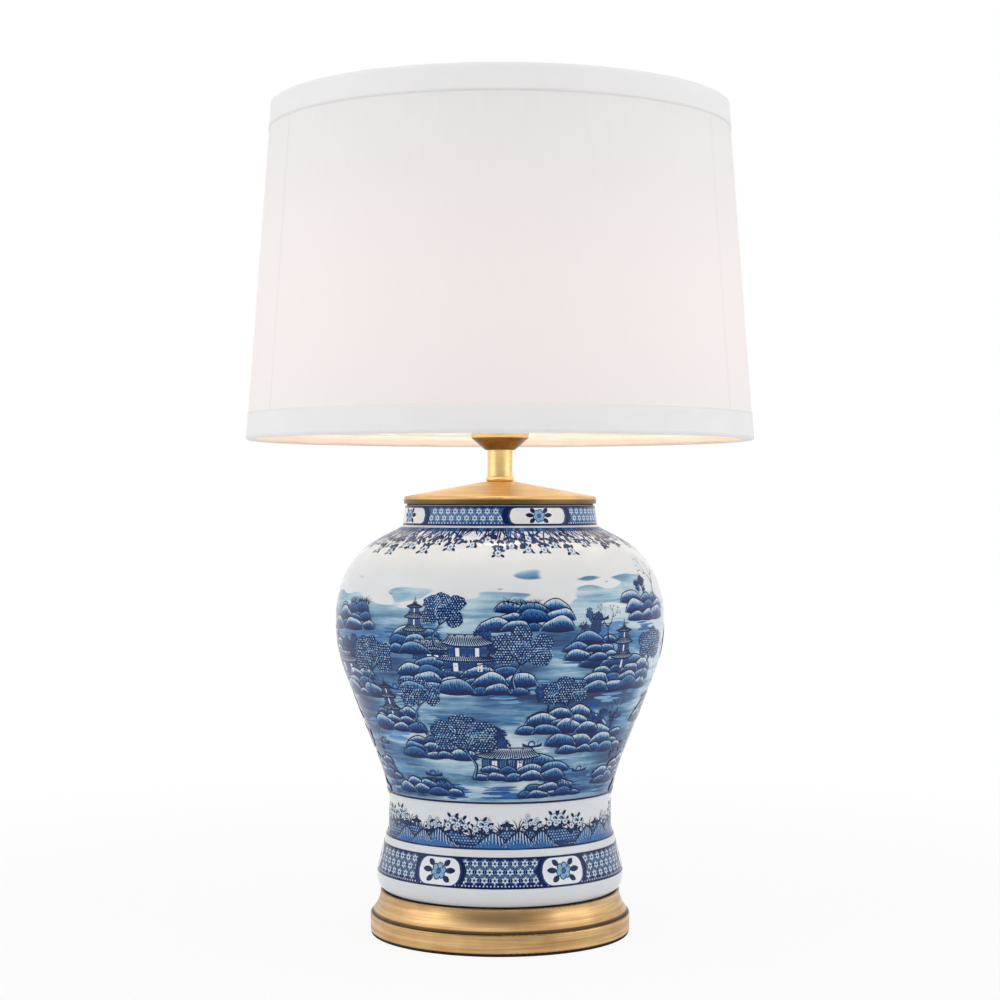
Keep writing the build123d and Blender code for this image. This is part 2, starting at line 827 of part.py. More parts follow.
arm_start_radius = fitter_radius - 2 * arm_radius
arm_start_level = flange_top + arm_weld - arm_radius
with BuildPart() as shade_spider:
    with BuildSketch(Plane.XY.offset(flange_top)):
        Circle(fitter_radius)
        Circle(barrel_radius + body_room, mode=Mode.SUBTRACT)
    extrude(amount=fitter_thickness)
    for k in range(arm_count):
        angle = rear_arm_angle + 360 / arm_count * k
        inner = spoke_point(arm_start_radius, angle, arm_start_level)
        outer = spoke_point(shade_radius_at(lower_wire_level, wire_inset), angle, lower_wire_level)
        with BuildSketch(Plane(origin=inner, z_dir=outer - inner)):
            Circle(arm_radius)
        extrude(amount=(outer - inner).length)
    add(lower_wire.part, mode=Mode.SUBTRACT)
    add(frame_struts.part, mode=Mode.SUBTRACT)
save(shade_spider, "shade_spider")

# Shade cover: lining, fabric and the two trim tapes
cover_bottom = shade_bottom + trim_thickness
cover_top = shade_top - trim_thickness
with BuildPart() as shade_lining:
    with BuildSketch(Plane.XZ):
        with BuildLine():
            Polyline(*shade_wall(cover_bottom, cover_top, lining_inset, lining_thickness), close=True)
        make_face()
    revolve(axis=Axis.Z)
save(shade_lining, "shade_lining")

with BuildPart() as shade_fabric:
    with BuildSketch(Plane.XZ):
        with BuildLine():
            Polyline(*shade_wall(cover_bottom, cover_top, fabric_inset, fabric_thickness), close=True)
        make_face()
    revolve(axis=Axis.Z)
save(shade_fabric, "shade_fabric")

hem_radius = shade_radius_at(lower_wire_level, hem_inset + trim_thickness / 2)
with BuildPart() as lower_trim:
    with BuildSketch(Plane.XZ):
        with BuildLine():
            lower_section = trim_section(
                rim=shade_bottom,
                lip=cover_bottom,
                edge=shade_bottom + trim_height,
                hem=shade_bottom + hem_height,
            )
            Polyline(*lower_section, close=True)
        make_face()
    revolve(axis=Axis.Z)
    with BuildSketch(Plane.XY.offset(cover_bottom)):
        with PolarLocations(hem_radius, arm_count, start_angle=rear_arm_angle):
            Rectangle(ring_wire_radius + 2 * trim_thickness, 2 * (arm_radius + arm_notch_room))
    extrude(amount=hem_height, mode=Mode.SUBTRACT)
save(lower_trim, "lower_trim")

with BuildPart() as upper_trim:
    with BuildSketch(Plane.XZ):
        with BuildLine():
            upper_section = trim_section(
                rim=shade_top,
                lip=cover_top,
                edge=shade_top - trim_height,
                hem=shade_top - hem_height,
            )
            Polyline(*upper_section, close=True)
        make_face()
    revolve(axis=Axis.Z)
save(upper_trim, "upper_trim")
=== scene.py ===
"""A lit table lamp: a blue-and-white jar between brass fittings, under a white drum shade."""

import logging
import random
from dataclasses import dataclass, field, replace
from enum import Enum
from math import atan2, cos, degrees, dist, exp, hypot, pi, radians, sin, sqrt
from typing import Callable, Iterable, Sequence

import bmesh
import bpy
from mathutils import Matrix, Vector
from mathutils.bvhtree import BVHTree


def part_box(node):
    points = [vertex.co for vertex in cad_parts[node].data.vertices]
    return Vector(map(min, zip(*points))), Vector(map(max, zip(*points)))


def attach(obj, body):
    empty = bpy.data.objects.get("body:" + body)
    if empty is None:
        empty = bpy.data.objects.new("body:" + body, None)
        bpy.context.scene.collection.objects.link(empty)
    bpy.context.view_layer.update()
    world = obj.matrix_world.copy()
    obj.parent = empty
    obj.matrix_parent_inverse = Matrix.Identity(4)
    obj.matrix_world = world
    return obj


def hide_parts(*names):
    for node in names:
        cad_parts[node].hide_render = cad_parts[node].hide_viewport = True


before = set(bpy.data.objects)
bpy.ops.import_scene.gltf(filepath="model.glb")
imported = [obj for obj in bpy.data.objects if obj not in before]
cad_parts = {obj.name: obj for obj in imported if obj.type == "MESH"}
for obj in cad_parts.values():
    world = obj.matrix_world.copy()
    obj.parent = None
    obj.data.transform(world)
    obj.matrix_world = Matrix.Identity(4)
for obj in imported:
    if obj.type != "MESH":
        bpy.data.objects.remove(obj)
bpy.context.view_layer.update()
log = logging.getLogger("lamp")

MM = 0.001
FULL_TURN = 360.0
HALF_TURN = 180.0
Colour = tuple[float, float, float, float]
Pair = tuple[float, float]
Triple = tuple[float, float, float]
Stops = tuple[tuple[float, Colour], ...]
Dab = tuple[Pair, float]
Curve = Callable[[float], float]
Lie = Callable[[float, float], float]
BLACK: Colour = (0.0, 0.0, 0.0, 1.0)
WHITE: Colour = (1.0, 1.0, 1.0, 1.0)
GLAZE_ROUGH: Pair = (0.09, 0.14)
GLAZE_SHINE = 0.22


def srgb(red: float, green: float, blue: float) -> Colour:
    """Turns a screen colour, from 0 to 255, into the linear one that a shader reads."""
    levels = (step / 255 for step in (red, green, blue))
    return (*(x / 12.92 if x <= 0.04045 else ((x + 0.055) / 1.055) ** 2.4 for x in levels), 1.0)


class Wire:
    """A shader socket that takes part in Python expressions."""

    def __init__(self, bench: "Bench", socket: bpy.types.NodeSocket) -> None:
        """Keeps the socket and the bench that it is on."""
        self.bench = bench
        self.socket = socket

    def apply(self, operation: str, *terms: "Wire | float") -> "Wire":
        """Adds one Math node with the terms on its inputs, in their order."""
        inputs = dict(enumerate(terms))
        return self.bench.node("Math", {"operation": operation}, inputs)[0]

    def __add__(self, other: "Wire | float") -> "Wire":
        """Adds."""
        return self.apply("ADD", self, other)

    __radd__ = __add__

    def __sub__(self, other: "Wire | float") -> "Wire":
        """Subtracts."""
        return self.apply("SUBTRACT", self, other)

    def __rsub__(self, other: "Wire | float") -> "Wire":
        """Subtracts this from a number."""
        return self.apply("SUBTRACT", other, self)

    def __mul__(self, other: "Wire | float") -> "Wire":
        """Multiplies."""
        return self.apply("MULTIPLY", self, other)

    __rmul__ = __mul__

    def __truediv__(self, other: "Wire | float") -> "Wire":
        """Divides."""
        return self.apply("DIVIDE", self, other)

    def __pow__(self, other: "Wire | float") -> "Wire":
        """Raises to a power."""
        return self.apply("POWER", self, other)

    def __mod__(self, other: "Wire | float") -> "Wire":
        """Gives what is left after whole steps, never below zero."""
        return self.apply("FLOORED_MODULO", self, other)

    def __abs__(self) -> "Wire":
        """Drops the sign."""
        return self.apply("ABSOLUTE", self)

    def sine(self) -> "Wire":
        """Gives the sine."""
        return self.apply("SINE", self)

    def least(self, other: "Wire | float") -> "Wire":
        """Gives the smaller of the two."""
        return self.apply("MINIMUM", self, other)

    def rise(self, low: float, high: float) -> "Wire":
        """Goes smoothly from 0 at low to 1 at high."""
        eased, limits = {"interpolation_type": "SMOOTHSTEP"}, {0: self, 1: low, 2: high}
        return self.bench.node("MapRange", eased, limits)[0]


def between(ends: Pair, share: Wire) -> Wire:
    """Goes from the first end to the second with a share from 0 to 1."""
    return ends[0] + (ends[1] - ends[0]) * share


class Tap:
    """The outputs of one node."""

    def __init__(self, bench: "Bench", node: bpy.types.Node) -> None:
        """Keeps the node and the bench that it is on."""
        self.bench = bench
        self.node = node

    def __getitem__(self, key: int | str) -> Wire:
        """Gives one output by its name or place."""
        return Wire(self.bench, self.node.outputs[key])


class Bench:
    """The node bench on which one finish, or the world, is wired."""

    NOT_ZERO = 1e-8

    def __init__(self, tree: bpy.types.NodeTree, output: str) -> None:
        """Clears the tree and sets its output.

        Args:
            tree: The node tree to work on.
            output: The type of the output node, without its common start.
        """
        self.tree = tree
        tree.nodes.clear()
        self.output = tree.nodes.new("ShaderNode" + output)

    def node(self, kind: str, settings: dict | None = None, inputs: dict | None = None) -> Tap:
        """Adds a node.

        Args:
            kind: The node's type, without its common start.
            settings: What is set on it first, with a ramp's stops as (place, colour) pairs.
            inputs: Values or wires by socket name or place.

        Returns:
            The node's outputs.
        """
        made = self.tree.nodes.new("ShaderNode" + kind)
        for key, value in (settings or {}).items():
            if key == "stops":
                elements = made.color_ramp.elements
                while len(elements) < len(value):
                    elements.new(0.5)
                for element, (place, colour) in zip(elements, value):
                    element.position = place
                    element.color = colour
            else:
                setattr(made, key, value)
        for key, value in (inputs or {}).items():
            if isinstance(value, Wire):
                self.tree.links.new(value.socket, made.inputs[key])
            else:
                made.inputs[key].default_value = value
        return Tap(self, made)

    def place(self) -> Wire:
        """Gives the Object coordinates."""
        return self.node("TexCoord")["Object"]

    def split(self, vector: Wire) -> tuple[Wire, Wire, Wire]:
        """Takes a vector apart into its three parts."""
        parts = self.node("SeparateXYZ", None, {0: vector})
        return parts[0], parts[1], parts[2]

    def vector(self, x: Wire | float, y: Wire | float, z: Wire | float) -> Wire:
        """Puts a vector together from its three parts."""
        return self.node("CombineXYZ", None, {0: x, 1: y, 2: z})[0]

    def radius(self, x: Wire, y: Wire) -> Wire:
        """Gives the distance from the lamp's axis, never quite zero."""
        return (x * x + y * y + self.NOT_ZERO) ** 0.5

    def turn(self, x: Wire, y: Wire) -> Wire:
        """Gives the turn round the lamp's axis, in radians to the right of the front."""
        return x.apply("ARCTAN2", x, 0.0 - y)

    def noise(self, vector: Wire, scale: float, detail: float = 2.0, rough: float = 0.5) -> Wire:
        """Gives noise from 0 to 1, with lumps by the unit and finer layers of some strength."""
        sockets = {"Vector": vector, "Scale": scale, "Detail": detail, "Roughness": rough}
        return self.node("TexNoise", None, sockets)[0]

    def drawn_noise(self, vector: Wire, by: Triple, detail: float, rough: float = 0.5) -> Wire:
        """Gives noise with so many lumps to a unit along each part of the vector."""
        place = self.node("VectorMath", {"operation": "MULTIPLY"}, {0: vector, 1: by})[0]
        return self.noise(place, 1.0, detail, rough)

    def mix(self, factor: Wire | float, first: Wire | Colour, second: Wire | Colour) -> Wire:
        """Mixes two colours, from the first at 0 to the second at 1."""
        sockets = {0: factor, 6: first, 7: second}
        return self.node("Mix", {"data_type": "RGBA"}, sockets)[2]

    def ramp(self, value: Wire, stops: Stops) -> Wire:
        """Reads a colour off a row of stops."""
        return self.node("ValToRGB", {"stops": stops}, {0: value})[0]

    def bump(self, height: Wire, strength: float, distance: float) -> Wire:
        """Turns a height into a normal."""
        sockets = {"Strength": strength, "Distance": distance, "Height": height}
        return self.node("Bump", None, sockets)[0]

    def light_path(self) -> Wire:
        """Gives 1 to the rays that look: straight, in a mirror or through glass."""
        ray = self.node("LightPath")
        return (ray["Is Camera Ray"] + ray["Is Glossy Ray"] + ray["Is Transmission Ray"]).least(1.0)

    def close(self, shader: Wire) -> None:
        """Joins a shader to the output."""
        self.tree.links.new(shader.socket, self.output.inputs["Surface"])

    def surface(self, **sockets: Wire | float | Colour) -> None:
        """Ends in a Principled shader, with _ for a space in its sockets' names."""
        named = {key.replace("_", " "): value for key, value in sockets.items()}
        self.close(self.node("BsdfPrincipled", None, named)[0])


@dataclass(frozen=True)
class Finish:
    """A finish that is wired once and worn by every piece that has it."""

    name: str

    def material(self) -> bpy.types.Material:
        """Makes the finish's material the first time that it is asked for.

        Returns:
            The material.
        """
        known = bpy.data.materials.get(self.name)
        if known is not None:
            return known
        made = bpy.data.materials.new(self.name)
        made.use_nodes = True
        self.wire(Bench(made.node_tree, "OutputMaterial"))
        return made

    def wire(self, bench: Bench) -> None:
        """Wires the finish on its bench."""
        raise NotImplementedError


@dataclass(frozen=True)
class Grained(Finish):
    """A plain material with fine mottling, small dents and an uneven sheen."""

    light: Colour
    dark: Colour
    rough: Pair
    metal: float
    grain: float
    dents: float

    COARSER = 14
    FINE_SHARE = 0.45
    DENT = 0.4 * MM

    def wire(self, bench: Bench) -> None:
        """Wires two scales of noise into colour, sheen and bump.

        Args:
            bench: The bench.
        """
        place = bench.place()
        fine = bench.noise(place, self.grain, 3.0, 0.6)
        broad = bench.noise(place, self.grain / self.COARSER)
        worn = (fine * self.FINE_SHARE + broad * (1 - self.FINE_SHARE)).rise(0.3, 0.7)
        bench.surface(
            Base_Color=bench.mix(worn, self.light, self.dark),
            Metallic=self.metal,
            Roughness=between(self.rough, worn),
            Normal=bench.bump(fine, self.dents, self.DENT),
        )


@dataclass(frozen=True)
class BrushedBrass(Finish):
    """Antique brass, brushed round the lamp's axis, with bands in another colour: darker on the
    foot, painted shade on the cap's rim and a painted highlight on the cup's lip.
    """

    light: Colour = srgb(228, 191, 136)
    dark: Colour = srgb(168, 128, 84)
    # The bands' colour: dark on the foot and the cap, light for the painted highlight on the cup's
    # lip.
    band_colour: Colour = srgb(52, 44, 34)
    rough: Pair = (0.24, 0.42)
    rows: float = 1500.0
    bands: tuple[Triple, ...] = ()

    LEAN = 0.7
    FINE = (1.6, 1.6, 1.0)
    COARSE = (0.9, 0.9, 1 / 6)
    CLOUDS = 26.0
    FRAY, FADE = 0.6 * MM, 1.1 * MM
    SCRATCH = 0.15 * MM

    def wire(self, bench: Bench) -> None:
        """Wires the brush marks, the tarnish and the bands of darkening, painted shade and painted
        highlight.

        Args:
            bench: The bench.
        """
        place = bench.place()
        x, y, z = bench.split(place)
        radius = bench.radius(x, y)
        along = (z - self.LEAN * radius) * self.rows
        marks = bench.vector(x / radius, y / radius, along)
        fine = bench.drawn_noise(marks, self.FINE, 3.0, 0.7)
        coarse = bench.drawn_noise(marks, self.COARSE, 2.0)
        cloud = bench.noise(place, self.CLOUDS, 3.0, 0.55)
        tarnish = (fine * 0.4 + coarse * 0.3 + cloud * 0.3).rise(0.32, 0.68)
        colour = bench.mix(tarnish, self.light, self.dark)
        # Bands: darkening on the foot, painted shade on the cap's rim and a painted highlight on
        # the cup's lip.
        for middle, half, depth in self.bands:
            off = abs(z - middle) + (fine - 0.5) * self.FRAY
            band_share = depth * (1.0 - off.rise(half, half + self.FADE))
            colour = bench.mix(band_share, colour, self.band_colour)
        bench.surface(
            Base_Color=colour,
            Metallic=1.0,
            Roughness=between(self.rough, tarnish),
            Normal=bench.bump(fine, 0.06, self.SCRATCH),
        )


@dataclass(frozen=True)
class Wash:
    """One layer of the wash: its lumps each way, how fine they are, and its share."""

    lumps: Triple
    detail: float
    rough: float
    share: float


@dataclass(frozen=True)
class WashedGlaze(Finish):
    """White glaze over streaky cobalt washes on the jar's belly."""

    white: Colour = srgb(229, 233, 238)
    cream: Colour = srgb(223, 226, 229)
    low: float = 114.8
    high: float = 274.0
    roam: float = 38.0
    hills: float = 2.3
    brush: Triple = (17.0, 17.0, 92.0)
    ragged: float = 70.0
    edge: Pair = (-1.6 * MM, 1.2 * MM)
    mist: Pair = (-26.0 * MM, -3.0 * MM)
    cover: float = 0.97
    layers: tuple[Wash, ...] = (
        Wash((8.0, 8.0, 105.0), 5.0, 0.62, 0.38),
        Wash((15.0, 15.0, 42.0), 4.0, 0.6, 0.34),
        Wash((8.0, 8.0, 17.0), 2.0, 0.5, 0.86),
        Wash((26.0, 26.0, 340.0), 3.0, 0.6, 0.16),
    )
    depths: Pair = (0.755, 1.065)
    tones: Stops = (
        (0.0, srgb(220, 230, 238)),
        (0.16, srgb(178, 206, 222)),
        (0.36, srgb(122, 165, 194)),
        (0.56, srgb(74, 124, 166)),
        (0.78, srgb(36, 82, 132)),
        (1.0, srgb(18, 48, 96)),
    )

    def wire(self, bench: Bench) -> None:
        """Wires the washes, their ragged upper edge and the glaze over them.

        Args:
            bench: The bench.
        """
        place = bench.place()
        x, y, z = bench.split(place)
        radius = bench.radius(x, y)
        depth = sum(
            bench.drawn_noise(place, wash.lumps, wash.detail, wash.rough) * wash.share
            for wash in self.layers
        ).rise(*self.depths)
        flat = bench.vector(x / radius, y / radius, 0.0)
        skyline = bench.noise(flat, self.hills, 1.0) * self.roam
        top = (self.high - self.roam * 0.5) * MM + skyline * MM
        fringe = (bench.drawn_noise(place, self.brush, 1.0) - 0.5) * self.ragged * MM
        above = z + fringe - top
        within = (1.0 - above.rise(*self.edge)) * (z - self.low * MM).rise(0.0, 0.6 * MM)
        thinned = 1.0 - 0.45 * above.rise(*self.mist)
        wash = bench.ramp(depth * thinned + 0.06, self.tones)
        body = bench.mix(bench.noise(place, 22.0), self.white, self.cream)
        bench.surface(
            Base_Color=bench.mix(within * self.cover, body, wash),
            Roughness=between(GLAZE_ROUGH, bench.noise(place, 40.0)),
            Normal=bench.bump(bench.noise(place, 55.0), 0.05, 0.6 * MM),
            Specular_IOR_Level=GLAZE_SHINE,
        )


@dataclass(frozen=True)
class CobaltPaint(Finish):
    """Cobalt paint under the glaze. The piece's own map says how much of it lies where."""

    tones: Stops = (
        (0.0, srgb(240, 241, 243)),
        (0.16, srgb(206, 220, 233)),
        (0.34, srgb(140, 184, 218)),
        (0.52, srgb(71, 129, 187)),
        (0.7, srgb(35, 81, 146)),
        (0.86, srgb(17, 44, 99)),
        (1.0, srgb(8, 20, 58)),
    )

    POOLS = (2.0, 5.0, 1.0)
    POOLING = 0.07

    def wire(self, bench: Bench) -> None:
        """Wires the paint's depth, with pooling along each stroke, into its colour.

        Args:
            bench: The bench.
        """
        spread = bench.node("UVMap", {"uv_map": Painter.MAP})[0]
        depth, along, _ = bench.split(spread)
        pooling = bench.drawn_noise(spread, self.POOLS, 2.0)
        bench.surface(
            Base_Color=bench.ramp(depth + (pooling - 0.5) * self.POOLING, self.tones),
            Roughness=between(GLAZE_ROUGH, along),
            Specular_IOR_Level=GLAZE_SHINE,
        )


@dataclass(frozen=True)
class LitCloth(Finish):
    """Fine white shade cloth, with a painted shadow of the frame and a painted glow of the bulb
    coming through.
    """

    thread: Colour = srgb(245, 245, 246)
    valley: Colour = srgb(235, 235, 236)
    # Painted light: the pink tint that the cloth's colour takes where the bulb's glow is painted.
    glow_tint: Colour = srgb(241, 234, 231)
    shadow: Colour = srgb(216, 214, 213)
    glow: Colour = (0.138, 0.096, 0.082, 1.0)
    glow_height: float = 0.485
    glow_reach: float = 0.24
    glow_drift: float = 30.0
    warps: float = 1500.0
    wefts: float = 7800.0
    slubs: Triple = (260.0, 260.0, 40.0)
    struts: int = 3
    strut_shadow_depth: float = 0.2
    strut_edge: Pair = (0.5 * MM, 2.4 * MM)
    radius: float = 0.19

    def wire(self, bench: Bench) -> None:
        """Wires the weave, the painted strut shadows and the painted glow, which also draws the
        cloth's colour towards a pink tint.

        Args:
            bench: The bench.
        """
        place = bench.place()
        x, y, z = bench.split(place)
        turn = bench.turn(x, y)
        weave = (turn * self.warps).sine() * (z * self.wefts).sine() * 0.5 + 0.5
        slub = bench.drawn_noise(place, self.slubs, 3.0)
        pitch = 2 * pi / self.struts
        off = abs((turn + pi + pitch / 2) % pitch - pitch / 2) * self.radius
        # Painted shadow of the struts: a thin darker upright line at each strut.
        strut = (1.0 - off.rise(*self.strut_edge)) * self.strut_shadow_depth
        cloth = bench.mix(weave * 0.5 + slub * 0.5, self.valley, self.thread)
        # Painted glow of the bulb: light that the cloth gives off, strongest at the bulb's height,
        # also pulling its colour towards the pink tint.
        drift = (bench.noise(place, 6.0, 1.0) - 0.5) * self.glow_drift * MM
        reach = abs(z - self.glow_height) + drift
        painted_glow = (1.0 - reach.rise(0.0, self.glow_reach)) * (1.0 - strut * 0.6)
        bench.surface(
            Base_Color=bench.mix(strut, bench.mix(painted_glow * 0.5, cloth, self.glow_tint), self.shadow),
            Roughness=0.86 + 0.08 * slub,
            Normal=bench.bump(weave * 0.6 + slub * 0.4, 0.12, 0.12 * MM),
            Emission_Color=bench.mix(painted_glow, BLACK, self.glow),
            Emission_Strength=1.0,
            Sheen_Weight=0.15,
        )


@dataclass(frozen=True)
class TapedHem(Finish):
    """The shade's folded cloth band, with a rib along its weave."""

    thread: Colour = srgb(250, 249, 249)
    valley: Colour = srgb(239, 238, 238)
    # Painted light: the side turned in is coloured as if lit by the bulb.
    inner: Colour = srgb(241, 223, 210)
    glow: Colour = (0.09, 0.056, 0.04, 1.0)
    # Painted glow: faint light that the outer side gives off.
    seeping_glow: Colour = (0.03, 0.027, 0.026, 1.0)
    ribs: float = 900.0
    wefts: float = 6400.0
    lies: Triple = (30.0, 30.0, 90.0)

    def wire(self, bench: Bench) -> None:
        """Wires the rib, the fold's uneven lie, the lamp's light painted on the side turned in, and
        a faint painted glow on the outer side.

        Args:
            bench: The bench.
        """
        place = bench.place()
        x, y, z = bench.split(place)
        facing = bench.split(bench.node("TexCoord")["Normal"])
        outward = (x * facing[0] + y * facing[1]) / bench.radius(x, y)
        inward = (0.0 - outward).rise(0.2, 0.6)
        rib = (bench.turn(x, y) * self.ribs).sine() * 0.5 + 0.5
        cross = (z * self.wefts).sine() * 0.5 + 0.5
        lie = bench.drawn_noise(place, self.lies, 2.0)
        tape = bench.mix(rib * cross * 0.5 + lie * 0.5, self.valley, self.thread)
        bench.surface(
            # The side turned in gets the lamp-lit colour and the stronger painted glow.
            Base_Color=bench.mix(inward, tape, self.inner),
            Emission_Color=bench.mix(inward, self.seeping_glow, self.glow),
            Emission_Strength=1.0,
            Roughness=0.84 + 0.1 * lie,
            Normal=bench.bump(rib * 0.25 + cross * 0.25 + lie * 0.5, 0.15, 0.2 * MM),
            Sheen_Weight=0.15,
        )


@dataclass(frozen=True)
class Glowing(Finish):
    """A surface that gives light, with a soft fall-off up and down."""

    middle: float
    reach: float
    body: Colour = srgb(250, 246, 238)
    frosted: Colour = srgb(236, 232, 224)
    light: Colour = (1.0, 0.84, 0.68, 1.0)
    strength: float = 25.0
    loss: float = 0.35

    def wire(self, bench: Bench) -> None:
        """Wires the light that is strongest at its middle height.

        Args:
            bench: The bench.
        """
        place = bench.place()
        z = bench.split(place)[2]
        fall = 1.0 - self.loss * abs(z - self.middle).rise(0.0, self.reach)
        frost = bench.noise(place, 500.0)
        bench.surface(
            Base_Color=bench.mix(frost, self.body, self.frosted),
            Roughness=0.35 + 0.1 * frost,
            Emission_Color=bench.mix(fall, BLACK, self.light),
            Emission_Strength=self.strength,
        )


@dataclass
class TurnedSkin:
    """One face of a turned piece: its radius at each height, in millimetres."""

    low: float
    radii: list[float] = field(default_factory=list)

    STEP = 0.5
    CASTS = 24
    OFF_GRID = 0.37
    EASE = 3

    @classmethod
    def measured(cls, node: str, inside: bool = False) -> "TurnedSkin":
        """Feels a turned CAD node and keeps the largest radius that is met at each height.

        Args:
            node: The node's name.
            inside: Whether it is felt from its axis, instead of from outside.

        Returns:
            The measured skin, each radius averaged with its neighbours.
        """
        low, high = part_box(node)
        tree = BVHTree.FromObject(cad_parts[node], bpy.context.evaluated_depsgraph_get())
        skin = cls(low.z / MM + cls.STEP)
        found = []
        for row in range(int((high.z - low.z) / MM / cls.STEP) - 1):
            level = Vector((0, 0, (skin.low + row * cls.STEP) * MM))
            reached = [0.0]
            for cast in range(cls.CASTS):
                turn = 2 * pi * (cast + cls.OFF_GRID) / cls.CASTS
                outward = Vector((cos(turn), sin(turn), 0))
                far = level + outward * high.x * 2
                start, way = (level, outward) if inside else (far, -outward)
                hit = tree.ray_cast(start, way)[0]
                if hit is not None:
                    reached.append(hypot(hit.x, hit.y))
            found.append(max(reached) / MM)
        for row in range(len(found)):
            near = found[max(0, row - cls.EASE) : row + cls.EASE + 1]
            skin.radii.append(sum(near) / len(near))
        return skin

    def radius(self, height: float) -> float:
        """Reads the radius at a height, between the measured ones.

        Args:
            height: Millimetres above the table.

        Returns:
            The radius.
        """
        place = min(max((height - self.low) / self.STEP, 0.0), len(self.radii) - 1.001)
        row = int(place)
        return self.radii[row] + (self.radii[row + 1] - self.radii[row]) * (place - row)

    def facing(self, angle: float, height: float) -> Vector:
        """Gives the way that the wall faces.

        Args:
            angle: Degrees to the right of the front.
            height: Millimetres above the table.

        Returns:
            The outward direction.
        """
        slope = (self.radius(height + 1) - self.radius(height - 1)) / 2
        turn = radians(angle)
        return Vector((sin(turn), -cos(turn), -slope)).normalized()

    def point(self, angle: float, height: float, lift: float) -> Vector:
        """Gives a place on the wall or above it.

        Args:
            angle: Degrees to the right of the front.
            height: Millimetres above the table.
            lift: Millimetres off the wall.

        Returns:
            The place, in metres.
        """
        turn, radius = radians(angle), self.radius(height)
        wall = Vector((radius * sin(turn), -radius * cos(turn), height))
        return (wall + self.facing(angle, height) * lift) * MM


class Tone(float, Enum):
    """How much cobalt a stroke leaves."""

    WHITE = 0.03
    MIST = 0.16
    PALE = 0.3
    SKY = 0.44
    BLUE = 0.6
    DEEP = 0.78
    NAVY = 0.94


class Taper(Enum):
    """How a stroke's width changes along it."""

    EVEN = "even"
    TAIL = "tail"
    LENS = "lens"

    def at(self, along: float) -> float:
        """Gives the share of the width that is left at a place.

        Args:
            along: The place along the stroke, from 0 to 1.

        Returns:
            The share.
        """
        if self is Taper.TAIL:
            return 1 - 0.82 * along
        if self is Taper.LENS:
            return max(0.07, sin(pi * along)) ** 0.8
        return min(1.0, 0.45 + 8 * along, 0.45 + 8 * (1 - along))


@dataclass(frozen=True)
class Spot:
    """A place on the jar where a motif stands, with its own grid in millimetres."""

    skin: TurnedSkin
    angle: float
    height: float
    size: float = 1.0
    flip: bool = False

    def paper(self, x: float, y: float) -> Pair:
        """Turns the motif's own place into degrees round the jar and a height.

        Args:
            x: Millimetres to the right of the spot.
            y: Millimetres above it.

        Returns:
            The angle and the height.
        """
        across = (-x if self.flip else x) * self.size
        turned = degrees(across / self.skin.radius(self.height))
        return self.angle + turned, self.height + y * self.size

    def moved(self, x: float, y: float, size: float = 1.0) -> "Spot":
        """Gives a spot beside this one, on a grid that is scaled by size."""
        angle, height = self.paper(x, y)
        return Spot(self.skin, angle, height, self.size * size, self.flip)


def smooth_path(points: Sequence[Pair], steps: int) -> list[Pair]:
    """Runs an even curve through a few points.

    Args:
        points: The points, two or more.
        steps: How many stretches the curve is cut into.

    Returns:
        The points along the curve.
    """
    ends = [points[0], *points, points[-1]]
    run = []
    for step in range(steps + 1):
        place = step / steps * (len(points) - 1)
        leg = min(int(place), len(points) - 2)
        t = place - leg
        a, b, c, d = (Vector(p) for p in ends[leg : leg + 4])
        curl, sway = 2 * a - 5 * b + 4 * c - d, 3 * b - a - 3 * c + d
        at = (2 * b + (c - a) * t + curl * t**2 + sway * t**3) / 2
        run.append((at.x, at.y))
    return run


